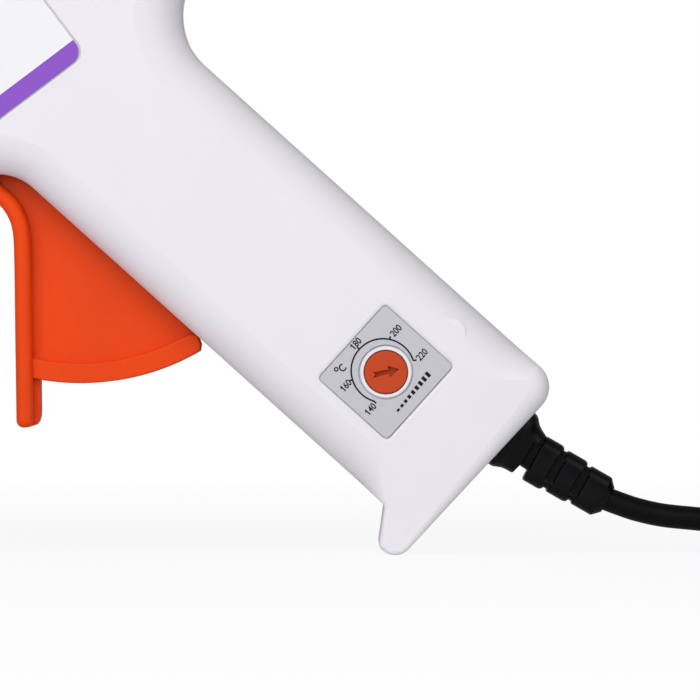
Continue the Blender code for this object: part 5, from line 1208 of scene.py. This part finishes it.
def makePlug(end):
    tall = end.z
    length, width, neck = plug["length"], plug["width"] / 2, plug["neck"] / 2
    stations = [(0.0, neck - 0.3), (0.3, neck)]
    for k in range(3):  # moulded rings of the neck
        d = 0.6 + 2.4 * k
        stations += [(d + 1.2, neck + 0.05 * k), (d + 1.35, neck - 0.9), (d + 2.1, neck - 0.9),
                     (d + 2.25, neck + 0.1 * k)]
    stations.append((length / 3, neck + 0.3))
    stations = [(d, w, w) for d, w in stations]
    stations += [(length / 3 + 2.0, neck + 2.4, neck + 2.2), (length / 2 - 0.8, width - 1.3, tall - 1.1),
                 (length / 2 + 0.6, width - 0.3, tall - 0.4), (length - 3.0, width, tall),
                 (length - 1.0, width, tall), (length - 0.3, width - 0.3, tall - 0.3),
                 (length, width - 0.9, tall - 0.9)]
    shape = squarish(72, 0.5)
    plugBody = loft([[(end.x + gap + d, end.y + w * c, tall + h * s) for c, s in shape] for d, w, h in stations])
    for k in range(5):  # grip ribs on both broad faces
        x = end.x + gap + length / 2 + 1.6 + 2.1 * k
        for side in (-1, 1):
            groove = roundedPlate(0.9, 12.0, 0.44, (x, end.y))
            low, high = sorted((tall + side * (tall - 0.45), tall + side * (tall + 2)))
            cut(plugBody, prism(groove, low, high, "Z"))
    pieces = [finishPiece(plugBody, "plugBody", yard, "rubber", "plug_body", smooth=34.0)]
    reach, tallness, thick = plug["blade"]
    start = end.x + 2 * gap + length
    low, high = tall - tallness / 2, tall + tallness / 2
    outline = filleted([(start, low, 0, 0), (start + reach, low, 2.4, 0), (start + reach, high, 2.4, 0),
                        (start, high, 0, 0)], 12.0)
    for i, side in enumerate((-1, 1)):
        y = end.y + side * plug["spacing"] / 2
        blade = prism([(x, z) for x, z, e in outline], y - thick / 2, y + thick / 2)
        cut(blade, rod(1.6, y - 3, y + 3, (start + reach - 4.6, tall)))
        soften(blade, 0.25, 2)
        pieces.append(finishPiece(blade, f"plugBlade{i + 1}", yard, "brass", f"plug_blade_{i + 1}"))
    return pieces


cord, cordPath, cordLength, cordEnd = makeCord()
cordPieces = [makeTie(), *makePlug(cordEnd)]
print("cord length in metres:", round(cordLength, 4))


# inner parts keep their frame shapes

inner = {
    "melt_chamber": "aluminium", "ptc_heater": "ceramic", "heater_clip": "steel", "front_insulator": "ceramic",
    "rear_insulator": "ceramic", "stick_seal": "silicone", "feed_carriage": "nylon", "grip_jaw": "steel",
    "jaw_pin": "steel", "trigger_pin": "steel", "return_spring": "steel", "potentiometer": "steel",
    "control_board": "board", "triac": "rubber", "capacitor": "aluminium", "cord_clamp": "nylon",
    "clamp_screw_1": "steel", "clamp_screw_2": "steel", "live_wire": "red", "neutral_wire": "blue",
    "heater_lead_1": "silicone", "heater_lead_2": "silicone",
}
for name, finish in inner.items():
    for slot in nodes[name].material_slots:
        slot.material = finishes[finish]
print("inner parts finished")


# floor, light and camera

studio = {"worldStrength": 0.28, "floorKept": 0.10, "lens": 250.0, "distance": 1.069,
          "aimX": 0.05896, "aimZ": -0.04422,
          "lamps": (("key", (-0.45, -1.1, 0.68), 1.2, 12.5), ("fill", (0.9, -0.9, 0.5), 1.0, 3.9))}


def whiteToView(tree, shader, share):
    # the camera's own and its see-through rays find plain white; share keeps some of the object's shadow
    port = Port(tree, None)
    path = tree.nodes.new("ShaderNodeLightPath")
    camera = Port(tree, path.outputs["Is Camera Ray"])
    seen = camera.calc("MAXIMUM", Port(tree, path.outputs["Is Transmission Ray"]))
    glow = port.make("ShaderNodeEmission", None, {"Color": (1, 1, 1, 1), "Strength": 1.0})
    return port.make("ShaderNodeMixShader", None, {0: seen * share, 1: Port(tree, shader), 2: glow})


def makeStudio():
    clearSelection()
    bpy.ops.mesh.primitive_plane_add(size=40.0, location=(0, 0, 0))
    floor = bpy.context.object
    floor.name = "paleFloor"
    finish, spot = newFinish("pale floor", (0.86, 0.86, 0.87), 0.9)
    tree = finish.node_tree
    away = spot.make("ShaderNodeVectorMath", {"operation": "LENGTH"}, {0: spot}, 1)
    share = away.spread(0.18, 0.6, 1.0 - studio["floorKept"], 1.0)
    mixed = whiteToView(tree, tree.nodes["Principled BSDF"].outputs[0], share)
    tree.links.new(mixed.socket, tree.nodes["Material Output"].inputs["Surface"])
    floor.data.materials.append(finish)

    world = bpy.data.worlds.new("studio")
    bpy.context.scene.world = world
    world.use_nodes = True
    tree = world.node_tree
    back = tree.nodes["Background"]
    back.inputs["Color"].default_value = (1, 1, 1, 1)
    back.inputs["Strength"].default_value = studio["worldStrength"]
    mixed = whiteToView(tree, back.outputs[0], 1.0)
    tree.links.new(mixed.socket, tree.nodes["World Output"].inputs["Surface"])

    for name, place, size, power in studio["lamps"]:
        lamp = bpy.data.lights.new(name, "AREA")
        lamp.energy = power
        lamp.size = size
        item = linked(name, lamp)
        item.location = place
        item.rotation_euler = (Vector(place) - Vector((0, 0, 0.07))).to_track_quat("Z", "Y").to_euler()

    camera = linked("viewer", bpy.data.cameras.new("viewer"))
    camera.data.lens = studio["lens"]
    camera.data.sensor_width = 36.0
    camera.data.clip_end = 100.0
    camera.location = (pivot.x + studio["aimX"], -studio["distance"], pivot.z + studio["aimZ"])
    camera.rotation_euler = (math.pi / 2, 0, 0)
    bpy.context.scene.camera = camera
    bpy.context.scene.view_settings.view_transform = "Standard"


makeStudio()
print("studio done")
